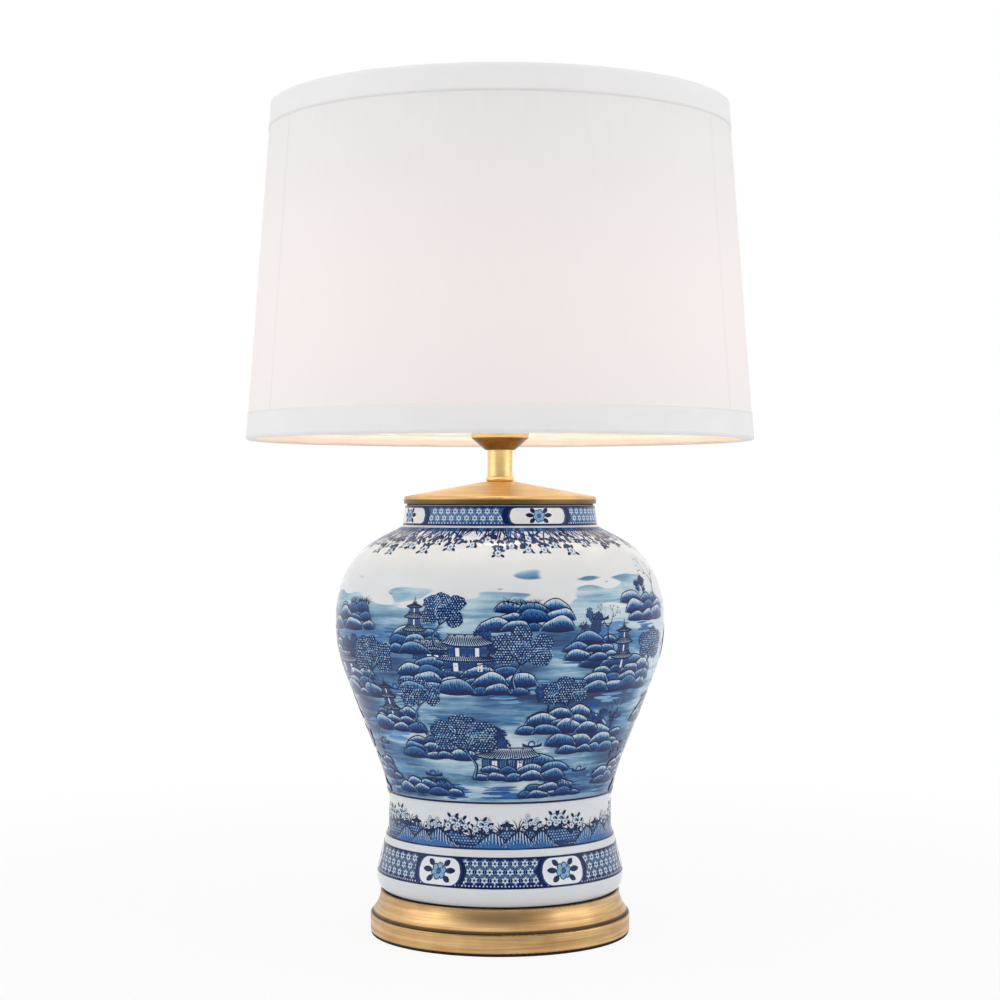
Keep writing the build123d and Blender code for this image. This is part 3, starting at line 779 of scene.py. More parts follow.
class Painter:
    """Lays strokes on flat paper, degrees across and millimetres up, and wraps it round the jar."""

    MAP = "OFBake"
    FIRST_LIFT = 0.06
    COAT = 0.015
    COATS_PER_DEPTH = 3
    SPREAD = 0.012
    THIN, THICK = 0.005, 0.995
    HOOP_SIDES = 240
    BLOB_SIDES = 18

    def __init__(self, skin: TurnedSkin) -> None:
        """Starts with clean paper.

        Args:
            skin: The jar's outside.
        """
        self.skin = skin
        self.lift = self.FIRST_LIFT
        self.done: list[bpy.types.Mesh] = []
        self.fresh()

    def fresh(self) -> None:
        """Takes a new small sheet of paper."""
        self.paper = bmesh.new()
        self.tone = self.paper.verts.layers.float.new("tone")
        self.run = self.paper.verts.layers.float.new("run")

    def dry(self) -> None:
        """Puts the sheet aside, because many small sheets are quicker to paint than a large one."""
        if self.paper.verts:
            sheet = bpy.data.meshes.new("sheet")
            self.paper.to_mesh(sheet)
            self.done.append(sheet)
        self.paper.free()
        self.fresh()

    def depth(self, level: float) -> None:
        """Goes to the paint level of a motif, nearer motifs being higher."""
        self.lift = self.FIRST_LIFT + level * self.COAT * self.COATS_PER_DEPTH

    def coat(self) -> None:
        """Goes one coat up."""
        self.lift += self.COAT

    def lay(self, columns: int, rows: int, place: Callable[[float, float], Dab]) -> None:
        """Lays a patch of paint.

        Args:
            columns: Cells along it.
            rows: Cells across it.
            place: Gives the paper place and the tone for a place from 0 to 1 along and across.
        """
        made = bmesh.ops.create_grid(self.paper, x_segments=columns, y_segments=rows, size=1.0)
        for vert in made["verts"]:
            along, across = (vert.co.x + 1) / 2, (vert.co.y + 1) / 2
            (angle, height), tone = place(along, across)
            vert.co = (angle, height, self.lift)
            spread = (across - 0.5) * 2 * self.SPREAD
            vert[self.tone] = min(max(tone + spread, self.THIN), self.THICK)
            vert[self.run] = 0.03 + 0.94 * along

    def stroke(
        self,
        spot: Spot,
        points: Sequence[Pair],
        width: float,
        tone: float,
        taper: Taper = Taper.EVEN,
        steps: int = 0,
    ) -> None:
        """Draws a brush line.

        Args:
            spot: Where the motif stands.
            points: The points that the line runs through.
            width: Its width.
            tone: Its tone.
            taper: How its width changes.
            steps: How many stretches it has, or 0 for three to each pair of points.
        """
        count = steps or (1 if len(points) == 2 else 3 * (len(points) - 1))
        if taper is Taper.LENS:
            count = max(count, 4)
        path = smooth_path(points, count)

        def place(along: float, across: float) -> Dab:
            """Gives a place on the line's left or right edge.

            Args:
                along: The share of the way along the line.
                across: 0 at one edge and 1 at the other.

            Returns:
                The place and its tone.
            """
            index = round(along * count)
            x, y = path[index]
            ahead, behind = path[min(index + 1, count)], path[max(index - 1, 0)]
            dx, dy = ahead[0] - behind[0], ahead[1] - behind[1]
            length = hypot(dx, dy) or 1.0
            side = (across - 0.5) * width * taper.at(along)
            return spot.paper(x - dy / length * side, y + dx / length * side), tone

        self.lay(count, 1, place)

    def leaf(
        self, spot: Spot, start: Pair, heading: float, length: float, width: float, tone: float
    ) -> None:
        """Draws a leaf from its stalk end.

        Args:
            spot: Where the motif stands.
            start: The stalk end.
            heading: Degrees from the right, anticlockwise.
            length: The leaf's length.
            width: The leaf's width.
            tone: Its tone.
        """
        turn = radians(heading)
        tip = (start[0] + length * cos(turn), start[1] + length * sin(turn))
        self.stroke(spot, [start, tip], width, tone, Taper.LENS, 4)

    def fill(
        self,
        spot: Spot,
        across: Curve,
        low: Curve,
        high: Curve,
        tones: Sequence[float],
        columns: int,
    ) -> None:
        """Fills the space between a lower and an upper curve, with a run of tones from low to high.

        Args:
            spot: Where the motif stands.
            across: The place across, from 0 to 1 along.
            low: The lower curve.
            high: The upper curve.
            tones: The tones from the lower to the upper curve, two or more.
            columns: Cells along it.
        """
        rows = len(tones) - 1

        def place(along: float, up: float) -> Dab:
            """Gives a place between the two curves."""
            height = low(along) + (high(along) - low(along)) * up
            return spot.paper(across(along), height), tones[round(up * rows)]

        self.lay(columns, rows, place)

    def box(self, spot: Spot, across: Pair, up: Pair, tone: float) -> None:
        """Fills an upright rectangle.

        Args:
            spot: Where the motif stands.
            across: Its left and right edge.
            up: Its lower and upper edge.
            tone: Its tone.
        """
        (left, right), (low, high) = across, up
        columns = max(1, int((right - left) * spot.size / 3))
        rows = 2 + int((high - low) * spot.size / 4)
        self.fill(
            spot, lambda t: left + (right - left) * t, lambda t: low, lambda t: high,
            (tone,) * rows, columns,
        )

    def disc(self, spot: Spot, at: Pair, radius: float, tone: float, sides: int = 6) -> None:
        """Sets down a dot.

        Args:
            spot: Where the motif stands.
            at: Its middle.
            radius: Its radius.
            tone: Its tone.
            sides: How many sides it has.
        """
        made = bmesh.ops.create_circle(self.paper, cap_ends=True, segments=sides, radius=1.0)
        for vert in made["verts"]:
            u, v = vert.co.x, vert.co.y
            angle, height = spot.paper(at[0] + u * radius, at[1] + v * radius)
            vert.co = (angle, height, self.lift)
            vert[self.tone] = min(max(tone + u * self.SPREAD, self.THIN), self.THICK)
            vert[self.run] = 0.5 + 0.45 * v

    def blob(
        self, spot: Spot, at: Pair, reach: Pair, tone: float, dice: random.Random, rough: float
    ) -> None:
        """Sets down an uneven patch.

        Args:
            spot: Where the motif stands.
            at: Its middle.
            reach: Its half width and half height.
            tone: Its tone.
            dice: The dice for its edge.
            rough: How uneven the edge is.
        """
        sides = self.BLOB_SIDES
        edge = [1 + dice.uniform(-rough, rough) for _ in range(sides)]

        def place(along: float, across: float) -> Dab:
            """Gives a place from the edge to the middle.

            Args:
                along: The share of the way round.
                across: 0 at the edge and 1 in the middle.

            Returns:
                The place and its tone.
            """
            index = round(along * sides) % sides
            turn, far = 2 * pi * index / sides, edge[index] * (1 - across)
            x = at[0] + reach[0] * far * cos(turn)
            return spot.paper(x, at[1] + reach[1] * far * sin(turn)), tone

        self.lay(sides, 2, place)

    def hoop(self, low: float, high: float, tones: Sequence[float]) -> None:
        """Paints a band all round the jar.

        Args:
            low: Its lower edge.
            high: Its upper edge.
            tones: Its tones from low to high, two or more.
        """
        rows = len(tones) - 1

        def place(along: float, up: float) -> Dab:
            """Gives a place on the band."""
            angle = -HALF_TURN + FULL_TURN * along
            return (angle, low + (high - low) * up), tones[round(up * rows)]

        self.lay(self.HOOP_SIDES, rows, place)

    def wrap(self, name: str) -> bpy.types.Object:
        """Joins the sheets, wraps them round the jar and gives the piece.

        Args:
            name: The piece's name.

        Returns:
            The painted piece.
        """
        self.dry()
        whole = bmesh.new()
        for sheet in self.done:
            whole.from_mesh(sheet)
            bpy.data.meshes.remove(sheet)
        self.done.clear()
        bmesh.ops.dissolve_degenerate(whole, edges=whole.edges[:], dist=1e-5)
        whole.normal_update()
        bmesh.ops.reverse_faces(whole, faces=[f for f in whole.faces if f.normal.z < 0])
        tone, run = whole.verts.layers.float["tone"], whole.verts.layers.float["run"]
        spread = whole.loops.layers.uv.new(self.MAP)
        for face in whole.faces:
            face.smooth = True
            for loop in face.loops:
                loop[spread].uv = (loop.vert[tone], loop.vert[run])
        facings = []
        for vert in whole.verts:
            angle, height, lift = vert.co
            facings.append(self.skin.facing(angle, height))
            vert.co = self.skin.point(angle, height, lift)
        piece = placed(name, whole)
        piece.data.normals_split_custom_set_from_vertices(facings)
        for layer in ("tone", "run"):
            piece.data.attributes.remove(piece.data.attributes[layer])
        return piece


def placed(name: str, shape: bmesh.types.BMesh) -> bpy.types.Object:
    """Makes an object of a shape and links it into the scene.

    Args:
        name: The object's name.
        shape: The shape, which is freed.

    Returns:
        The object, at the origin.
    """
    mesh = bpy.data.meshes.new(name)
    shape.to_mesh(mesh)
    shape.free()
    made = bpy.data.objects.new(name, mesh)
    bpy.context.scene.collection.objects.link(made)
    return made


def spread_evenly(count: int, start: float, end: float) -> Iterable[float]:
    """Gives the middles of a count of equal shares between two values."""
    return (start + (end - start) * (index + 0.5) / count for index in range(count))


@dataclass
class Motifs:
    """The things that the landscape and the borders are put together from."""

    painter: Painter
    rng: random.Random

    VEILS = (0.0, 0.0, 0.0, 0.08, 0.16, 0.32)
    RING_GAP = 2.15
    BOUGHS = ((200, 0.3), (150, 0.36), (95, 0.34), (40, 0.36), (-10, 0.3), (90, 0.02))
    LEAF_MASSES, DABS = 7, 16
    FORKS = 4
    HOOD = ((-0.4, 0.14), (-0.3, 0.5), (0.12, 0.52), (0.24, 0.14))
    WAVES = 5
    PETALS, PETAL_SIDES = 6, 8

    def mound(self, spot: Spot, at: Pair, width: float, height: float, depth: float) -> None:
        """Paints a rounded rock: pale on top, dark below, with short hatching.

        Args:
            spot: Where the group stands.
            at: The middle of the rock's foot.
            width: Its width.
            height: Its height.
            depth: How near it is.
        """
        x, y = at
        pen, dice = self.painter, self.rng
        lean, lump, phase = dice.uniform(-0.3, 0.3), dice.uniform(0.03, 0.09), dice.uniform(0, 6)
        veil = dice.choice(self.VEILS)

        def across(t: float) -> float:
            """Gives the place across."""
            return x + width * (t - 0.5)

        def foot(t: float) -> float:
            """Gives the lower edge."""
            return y - 0.12 * height * sin(pi * t)

        def crest(t: float) -> float:
            """Gives the upper edge."""
            swell = 1 + lean * (2 * t - 1) + lump * sin(9 * t + phase)
            return y + height * max(0.0, sin(pi * t)) ** 0.6 * swell

        pen.depth(depth)
        pen.fill(spot, across, foot, crest, (0.96, 0.88, 0.66, 0.27 + veil, 0.03 + veil), 12)
        pen.coat()
        brow = [(across(t / 8), crest(t / 8)) for t in range(9)]
        pen.stroke(spot, brow, 0.85, Tone.NAVY, Taper.EVEN, 14)
        base = [(across(t / 4), foot(t / 4)) for t in range(5)]
        pen.stroke(spot, base, 1.1, Tone.NAVY, Taper.LENS, 8)
        for t in spread_evenly(max(4, int(width / 1.3)), 0.08, 0.92):
            t += dice.uniform(-0.015, 0.015)
            rise = crest(t) - foot(t)
            top = crest(t) - rise * dice.uniform(0.02, 0.3)
            end = (across(t) + dice.uniform(-0.4, 0.4), top - rise * dice.uniform(0.3, 0.55))
            pen.stroke(spot, [end, (across(t), top)], 0.75, Tone.NAVY, Taper.TAIL)

    def pile(self, spot: Spot, width: float, rows: int, depth: float, large: float) -> None:
        """Paints rocks piled row over row, narrower at the back.

        Args:
            spot: The middle of the front row's foot.
            width: The front row's width.
            rows: How many rows there are.
            depth: How near the back row is.
            large: The width of a usual rock.
        """
        dice = self.rng
        for row in range(rows):
            share = (row + 1) / rows
            span = width * (0.42 + 0.58 * share)
            y = (rows - 1 - row) * large * 0.27
            x = -span / 2 + dice.uniform(-0.1, 0.1) * width
            turn = 0
            while x < span / 2:
                wide = large * dice.uniform(0.75, 1.35)
                tall = wide * dice.uniform(0.26, 0.38)
                foot = (x + wide / 2, y + dice.uniform(-0.8, 0.8))
                self.mound(spot, foot, wide, tall, depth + row * 0.9 + turn * 0.45)
                x += wide * dice.uniform(0.58, 0.78)
                turn = 1 - turn
        self.painter.dry()

    def cluster(self, spot: Spot, at: Pair, reach: Pair) -> None:
        """Paints foliage of small pale dots on navy.

        Args:
            spot: Where the tree stands.
            at: The cluster's middle.
            reach: Its half width and half height.
        """
        pen, dice, gap = self.painter, self.rng, self.RING_GAP
        lift = pen.lift
        pen.blob(spot, at, reach, Tone.NAVY - dice.uniform(0, 0.1), dice, 0.13)
        pen.coat()
        rows = int(2 * reach[1] / (gap * 0.87)) + 1
        columns = int(2 * reach[0] / gap) + 1
        for row in range(rows):
            v = (row + 0.5) / rows * 2 - 1
            for column in range(columns):
                u = (column + 0.5 + 0.5 * (row % 2)) / columns * 2 - 1
                if u * u + v * v < 0.96:
                    x = at[0] + u * reach[0] + dice.uniform(-0.25, 0.25)
                    y = at[1] + v * reach[1] + dice.uniform(-0.25, 0.25)
                    size = gap * dice.uniform(0.22, 0.3)
                    pen.disc(spot, (x, y), size, Tone.SKY + dice.uniform(-0.26, 0.12))
        pen.lift = lift
        pen.dry()

    def trunk(self, spot: Spot, points: Sequence[Pair], width: float) -> None:
        """Paints a trunk as a dark line with a pale side.

        Args:
            spot: The tree's foot.
            points: The points that the trunk runs through.
            width: Its width.
        """
        pen = self.painter
        pen.stroke(spot, points, width, Tone.NAVY, Taper.TAIL)
        pen.coat()
        side = [(x - width * 0.12, y) for x, y in points]
        pen.stroke(spot, side, width * 0.28, Tone.SKY, Taper.TAIL)

    def ringed_tree(self, spot: Spot, height: float, depth: float) -> None:
        """Paints a leaning tree with ringed foliage.

        Args:
            spot: The tree's foot.
            height: Its height.
            depth: How near it is.
        """
        pen, dice = self.painter, self.rng
        pen.depth(depth)
        bend = height * dice.uniform(0.1, 0.22)
        crown = height * 0.66
        for turn, far in self.BOUGHS:
            angle = radians(turn + dice.uniform(-14, 14))
            x = -bend + far * height * cos(angle)
            y = crown + far * height * 0.8 * sin(angle)
            reach = (height * dice.uniform(0.18, 0.24), height * dice.uniform(0.14, 0.19))
            self.cluster(spot, (x, y), reach)
            pen.lift += pen.COAT * 0.5
        pen.coat()
        pen.coat()
        fork = (-bend * 0.6, height * 0.42)
        trunk = [(0, 0), (bend * 0.35, height * 0.2), fork, (-bend, crown)]
        self.trunk(spot, trunk, height * 0.075)
        for side in (-1, 1):
            elbow = (side * height * 0.12 - bend, height * 0.55)
            bough = [fork, elbow, (side * height * 0.26 - bend, crown)]
            pen.stroke(spot, bough, height * 0.035, Tone.NAVY, Taper.TAIL)
        pen.dry()

    def leafy_tree(self, spot: Spot, height: float, depth: float) -> None:
        """Paints a tree of dense dark dabs.

        Args:
            spot: The tree's foot.
            height: Its height.
            depth: How near it is.
        """
        pen, dice = self.painter, self.rng
        pen.depth(depth)
        lean = height * dice.uniform(-0.15, 0.15)
        trunk = [(0, 0), (lean * 0.2, height * 0.3), (lean, height * 0.6)]
        pen.stroke(spot, trunk, height * 0.08, Tone.NAVY, Taper.TAIL)
        for _ in range(self.LEAF_MASSES):
            x = lean + height * dice.uniform(-0.3, 0.3)
            y = height * dice.uniform(0.45, 0.92)
            reach = (height * dice.uniform(0.12, 0.2), height * dice.uniform(0.08, 0.13))
            pen.blob(spot, (x, y), reach, Tone.DEEP + dice.uniform(-0.1, 0.12), dice, 0.3)
            for _ in range(self.DABS):
                turn, far = dice.uniform(0, 2 * pi), dice.uniform(0.5, 1.15)
                dab = (x + reach[0] * far * cos(turn), y + reach[1] * far * sin(turn))
                heading = degrees(turn) + dice.uniform(-50, 50)
                tone = Tone.NAVY - dice.uniform(0, 0.12)
                pen.leaf(spot, dab, heading, height * 0.07, height * 0.04, tone)
        pen.dry()

    def bare_tree(self, spot: Spot, height: float, depth: float) -> None:
        """Paints a tree without leaves.

        Args:
            spot: The tree's foot.
            height: Its height.
            depth: How near it is.
        """
        self.painter.depth(depth)
        heading = 90 + self.rng.uniform(-12, 12)
        self.branch(spot, (0.0, 0.0), heading, height * 0.42, height * 0.07, self.FORKS)
        self.painter.dry()

    def branch(
        self, spot: Spot, start: Pair, heading: float, length: float, width: float, left: int
    ) -> None:
        """Paints a branch and those that fork from it.

        Args:
            spot: The tree's foot.
            start: Where the branch starts.
            heading: Degrees from the right, anticlockwise.
            length: Its length.
            width: Its width.
            left: How many forks follow.
        """
        dice = self.rng
        turn = radians(heading)
        bow = radians(heading + dice.uniform(-28, 28))
        middle = (start[0] + 0.5 * length * cos(bow), start[1] + 0.5 * length * sin(bow))
        end = (start[0] + length * cos(turn), start[1] + length * sin(turn))
        self.painter.stroke(spot, [start, middle, end], max(width, 0.45), Tone.NAVY, Taper.TAIL, 4)
        if left == 0:
            return
        for side in (-1, 1):
            fork = heading + side * dice.uniform(18, 44)
            self.branch(spot, end, fork, length * dice.uniform(0.55, 0.72), width * 0.55, left - 1)

    def roof(
        self, spot: Spot, y: float, ridge: float, eave: float, height: float, slant: float = 0.0
    ) -> None:
        """Paints a tiled roof: pale, striped, with upturned eaves.

        Args:
            spot: The building's foot.
            y: The height of the eaves.
            ridge: Half the ridge's length.
            eave: Half the eaves' length.
            height: From the eaves to the ridge.
            slant: How far the ridge is moved to the right.
        """
        pen = self.painter

        def low(t: float) -> float:
            """Gives the eaves' line."""
            return y + height * 0.34 * abs(2 * t - 1) ** 3

        def line(t: float, up: float) -> Pair:
            """Gives a place on the roof."""
            half = eave + (ridge - eave) * up**0.7
            return (2 * t - 1) * half + slant * up, low(t) + (y + height - low(t)) * up

        def place(along: float, up: float) -> Dab:
            """Gives a place on the roof's paper, with its tone."""
            return spot.paper(*line(along, up)), Tone.MIST + 0.14 * (1 - up)

        pen.lay(max(4, int(eave / 2)), 3, place)
        pen.coat()
        for t in spread_evenly(max(6, int(eave / 0.95)), 0.02, 0.98):
            tile = [line(t, 0.95), line(t, 0.5), line(t, 0.04)]
            pen.stroke(spot, tile, 0.98, Tone.NAVY, Taper.EVEN, 3)
        pen.stroke(spot, [line(t / 8, 0) for t in range(9)], 1.2, Tone.NAVY, Taper.EVEN, 12)
        for side, away in ((0.0, -1), (1.0, 1)):
            pen.stroke(spot, [line(side, u / 4) for u in range(5)], 0.9, Tone.NAVY, Taper.EVEN, 6)
            x, top = line(side, 1)
            pen.stroke(spot, [(x, top), (x + away * 1.2, top + 1.6)], 1.2, Tone.NAVY, Taper.TAIL, 2)
        pen.stroke(spot, [line(0, 1), line(1, 1)], 1.5, Tone.NAVY, Taper.EVEN, 4)

    def walls(self, spot: Spot, up: Pair, half: float, bays: int, open_bays: Sequence[int]) -> None:
        """Paints a timber wall with posts and light openings.

        Args:
            spot: The building's foot.
            up: The wall's foot and top.
            half: Half its width.
            bays: How many bays it has.
            open_bays: The bays that are left light.
        """
        pen, (low, high) = self.painter, up
        pen.box(spot, (-half, half), up, Tone.DEEP)
        pen.coat()
        bay = 2 * half / bays
        for index in range(bays):
            left = -half + index * bay
            if index in open_bays:
                opening = (left + bay * 0.2, left + bay * 0.8)
                pen.box(spot, opening, (low, high - (high - low) * 0.18), Tone.WHITE)
            else:
                for x in spread_evenly(3, left + bay * 0.12, left + bay * 0.88):
                    pen.stroke(spot, [(x, low + 0.3), (x, high - 0.3)], bay * 0.1, Tone.SKY)
        for index in range(bays + 1):
            x = -half + index * bay
            pen.stroke(spot, [(x, low), (x, high)], 0.7, Tone.NAVY)
        pen.stroke(spot, [(-half - 1, low), (half + 1, low)], 0.9, Tone.NAVY, Taper.EVEN, 4)

    def hall(
        self, spot: Spot, half: float, storeys: int, depth: float, open_bays: Sequence[int]
    ) -> None:
        """Paints a garden hall.

        Args:
            spot: Its foot.
            half: Half the width of its lowest wall.
            storeys: How many storeys it has.
            depth: How near it is.
            open_bays: The bays that are left light.
        """
        y = 0.0
        for storey in range(storeys):
            self.painter.depth(depth + storey)
            wide = half * (1 - 0.2 * storey)
            tall = half * 0.42
            self.walls(spot, (y, y + tall), wide, 6, open_bays)
            last = storey == storeys - 1
            rise = half * (0.46 if last else 0.26)
            ridge = wide * (0.82 if last else 0.95)
            self.roof(spot, y + tall - 0.4, ridge, wide * 1.32, rise, wide * 0.1)
            y += tall + rise * 0.75
        self.painter.dry()

    def tower(self, spot: Spot, half: float, storeys: int, depth: float) -> None:
        """Paints a slim tower of stacked roofs.

        Args:
            spot: Its foot.
            half: Half the width of its lowest wall.
            storeys: How many storeys it has.
            depth: How near it is.
        """
        y = 0.0
        for storey in range(storeys):
            self.painter.depth(depth + storey * 0.5)
            wide = half * (1 - 0.17 * storey)
            self.walls(spot, (y, y + wide * 1.05), wide, 5, (2,))
            y += wide * 1.05
            ridge = wide * (0.14 if storey == storeys - 1 else 0.8)
            self.roof(spot, y - 0.3, ridge, wide * 1.75, wide * 0.8)
            y += wide * 0.72
        self.painter.stroke(spot, [(0, y), (0, y + half * 0.9)], 1.1, Tone.NAVY, Taper.TAIL)
        self.painter.dry()

    def bridge(self, spot: Spot, width: float, height: float, depth: float) -> None:
        """Paints an arched bridge with a railing.

        Args:
            spot: The middle of its foot.
            width: Its span.
            height: The arch's rise.
            depth: How near it is.
        """
        pen = self.painter
        below, rail = -2.2, 3.2
        pen.depth(depth)

        def arch(t: float, rise: float) -> Pair:
            """Gives a place on an arch line."""
            return width * (t - 0.5), height * (1 - (2 * t - 1) ** 2) + rise

        pen.fill(
            spot, lambda t: arch(t, 0)[0], lambda t: arch(t, below)[1], lambda t: arch(t, rail)[1],
            (0.6, 0.12), 12,
        )
        pen.coat()
        for rise, wide in ((below, 0.9), (0.0, 1.1), (rail, 0.9)):
            pen.stroke(spot, [arch(t / 8, rise) for t in range(9)], wide, Tone.NAVY, Taper.EVEN, 14)
        for t in spread_evenly(11, 0.0, 1.0):
            pen.stroke(spot, [arch(t, 0), arch(t, 3.4)], 0.7, Tone.NAVY)
        for t in spread_evenly(16, 0.03, 0.97):
            pen.stroke(spot, [arch(t, -2.1), arch(t, -0.4)], 0.5, Tone.DEEP)
        pen.dry()

    def boat(self, spot: Spot, half: float, depth: float) -> None:
        """Paints a small covered boat on the water.

        Args:
            spot: The middle of its waterline.
            half: Half its length.
            depth: How near it is.
        """
        pen = self.painter
        pen.depth(depth)

        def gunwale(t: float) -> float:
            """Gives the hull's upper edge."""
            return half * (0.12 + 0.3 * (2 * t - 1) ** 2)

        pen.fill(
            spot, lambda t: half * (2 * t - 1), lambda t: gunwale(t) * 0.4 - half * 0.12, gunwale,
            (0.95, 0.8), 8,
        )
        hood = [(half * x, half * y) for x, y in self.HOOD]
        pen.stroke(spot, hood, half * 0.16, Tone.DEEP, Taper.EVEN, 9)
        pen.stroke(spot, [(half * 0.5, half * 0.1), (half * 0.62, half * 0.85)], 0.6, Tone.NAVY)
        for drop in (0.3, 0.5):
            wake = [(-half, -half * drop), (0, -half * (drop + 0.06)), (half * 1.2, -half * drop)]
            pen.stroke(spot, wake, 0.5, Tone.DEEP, Taper.LENS, 6)
        pen.dry()

    def ripples(self, spot: Spot, width: float, rows: int) -> None:
        """Paints wandering water lines.

        Args:
            spot: Their middle.
            width: Their length.
            rows: How many there are.
        """
        pen, dice = self.painter, self.rng
        pen.depth(0)
        for row in range(rows):
            start = dice.uniform(-0.6, -0.2) * width
            end = dice.uniform(0.2, 0.6) * width
            points = [
                (start + (end - start) * i / self.WAVES, -row * 2.6 + dice.uniform(-0.7, 0.7))
                for i in range(self.WAVES + 1)
            ]
            pen.stroke(spot, points, dice.uniform(0.45, 0.75), Tone.DEEP, Taper.LENS, 14)
        pen.dry()

    def tuft(self, spot: Spot, height: float, blades: int, depth: float) -> None:
        """Paints grass.

        Args:
            spot: Its foot.
            height: Its height.
            blades: How many blades it has.
            depth: How near it is.
        """
        pen, dice = self.painter, self.rng
        pen.depth(depth)
        pen.coat()
        for heading in spread_evenly(blades, 25, 155):
            turn = radians(heading + dice.uniform(-8, 8))
            tall = height * dice.uniform(0.7, 1.1)
            middle = (0.5 * tall * cos(turn) * 0.8, 0.6 * tall * sin(turn))
            tip = (tall * cos(turn) * 1.15, tall * sin(turn) * 0.92)
            pen.stroke(spot, [(0, 0), middle, tip], height * 0.1, Tone.NAVY, Taper.TAIL, 5)

    def bird(self, spot: Spot, half: float) -> None:
        """Paints a far bird.

        Args:
            spot: Its body.
            half: The length of a wing.
        """
        self.painter.depth(0)
        for side in (-1, 1):
            wing = [(0, 0), (side * half * 0.5, half * 0.45), (side * half, half * 0.2)]
            self.painter.stroke(spot, wing, half * 0.3, Tone.DEEP, Taper.TAIL, 4)

    def blossom(self, spot: Spot, radius: float, petal: float, heart: float, leaves: int) -> None:
        """Paints a round flower with dark leaves behind it.

        Args:
            spot: Its middle.
            radius: Its radius.
            petal: The petals' tone.
            heart: The heart's tone.
            leaves: How many leaves it has.
        """
        pen, sides = self.painter, self.PETAL_SIDES
        for heading in spread_evenly(leaves, -70, 250) if leaves else ():
            turn = radians(heading)
            start = (radius * 0.8 * cos(turn), radius * 0.8 * sin(turn))
            pen.leaf(spot, start, heading, radius * 1.25, radius * 0.72, Tone.NAVY)
        pen.coat()
        for index in range(self.PETALS):
            turn = 2 * pi * (index + 0.25) / self.PETALS
            middle = (radius * 0.58 * cos(turn), radius * 0.58 * sin(turn))
            pen.disc(spot, middle, radius * 0.46, Tone.NAVY, sides)
            pen.lift += pen.COAT * 0.5
            pen.disc(spot, middle, radius * 0.34, petal, sides)
            pen.lift -= pen.COAT * 0.5
        pen.coat()
        pen.disc(spot, (0, 0), radius * 0.32, Tone.NAVY, sides)
        pen.lift += pen.COAT * 0.5
        pen.disc(spot, (0, 0), radius * 0.2, heart, sides)


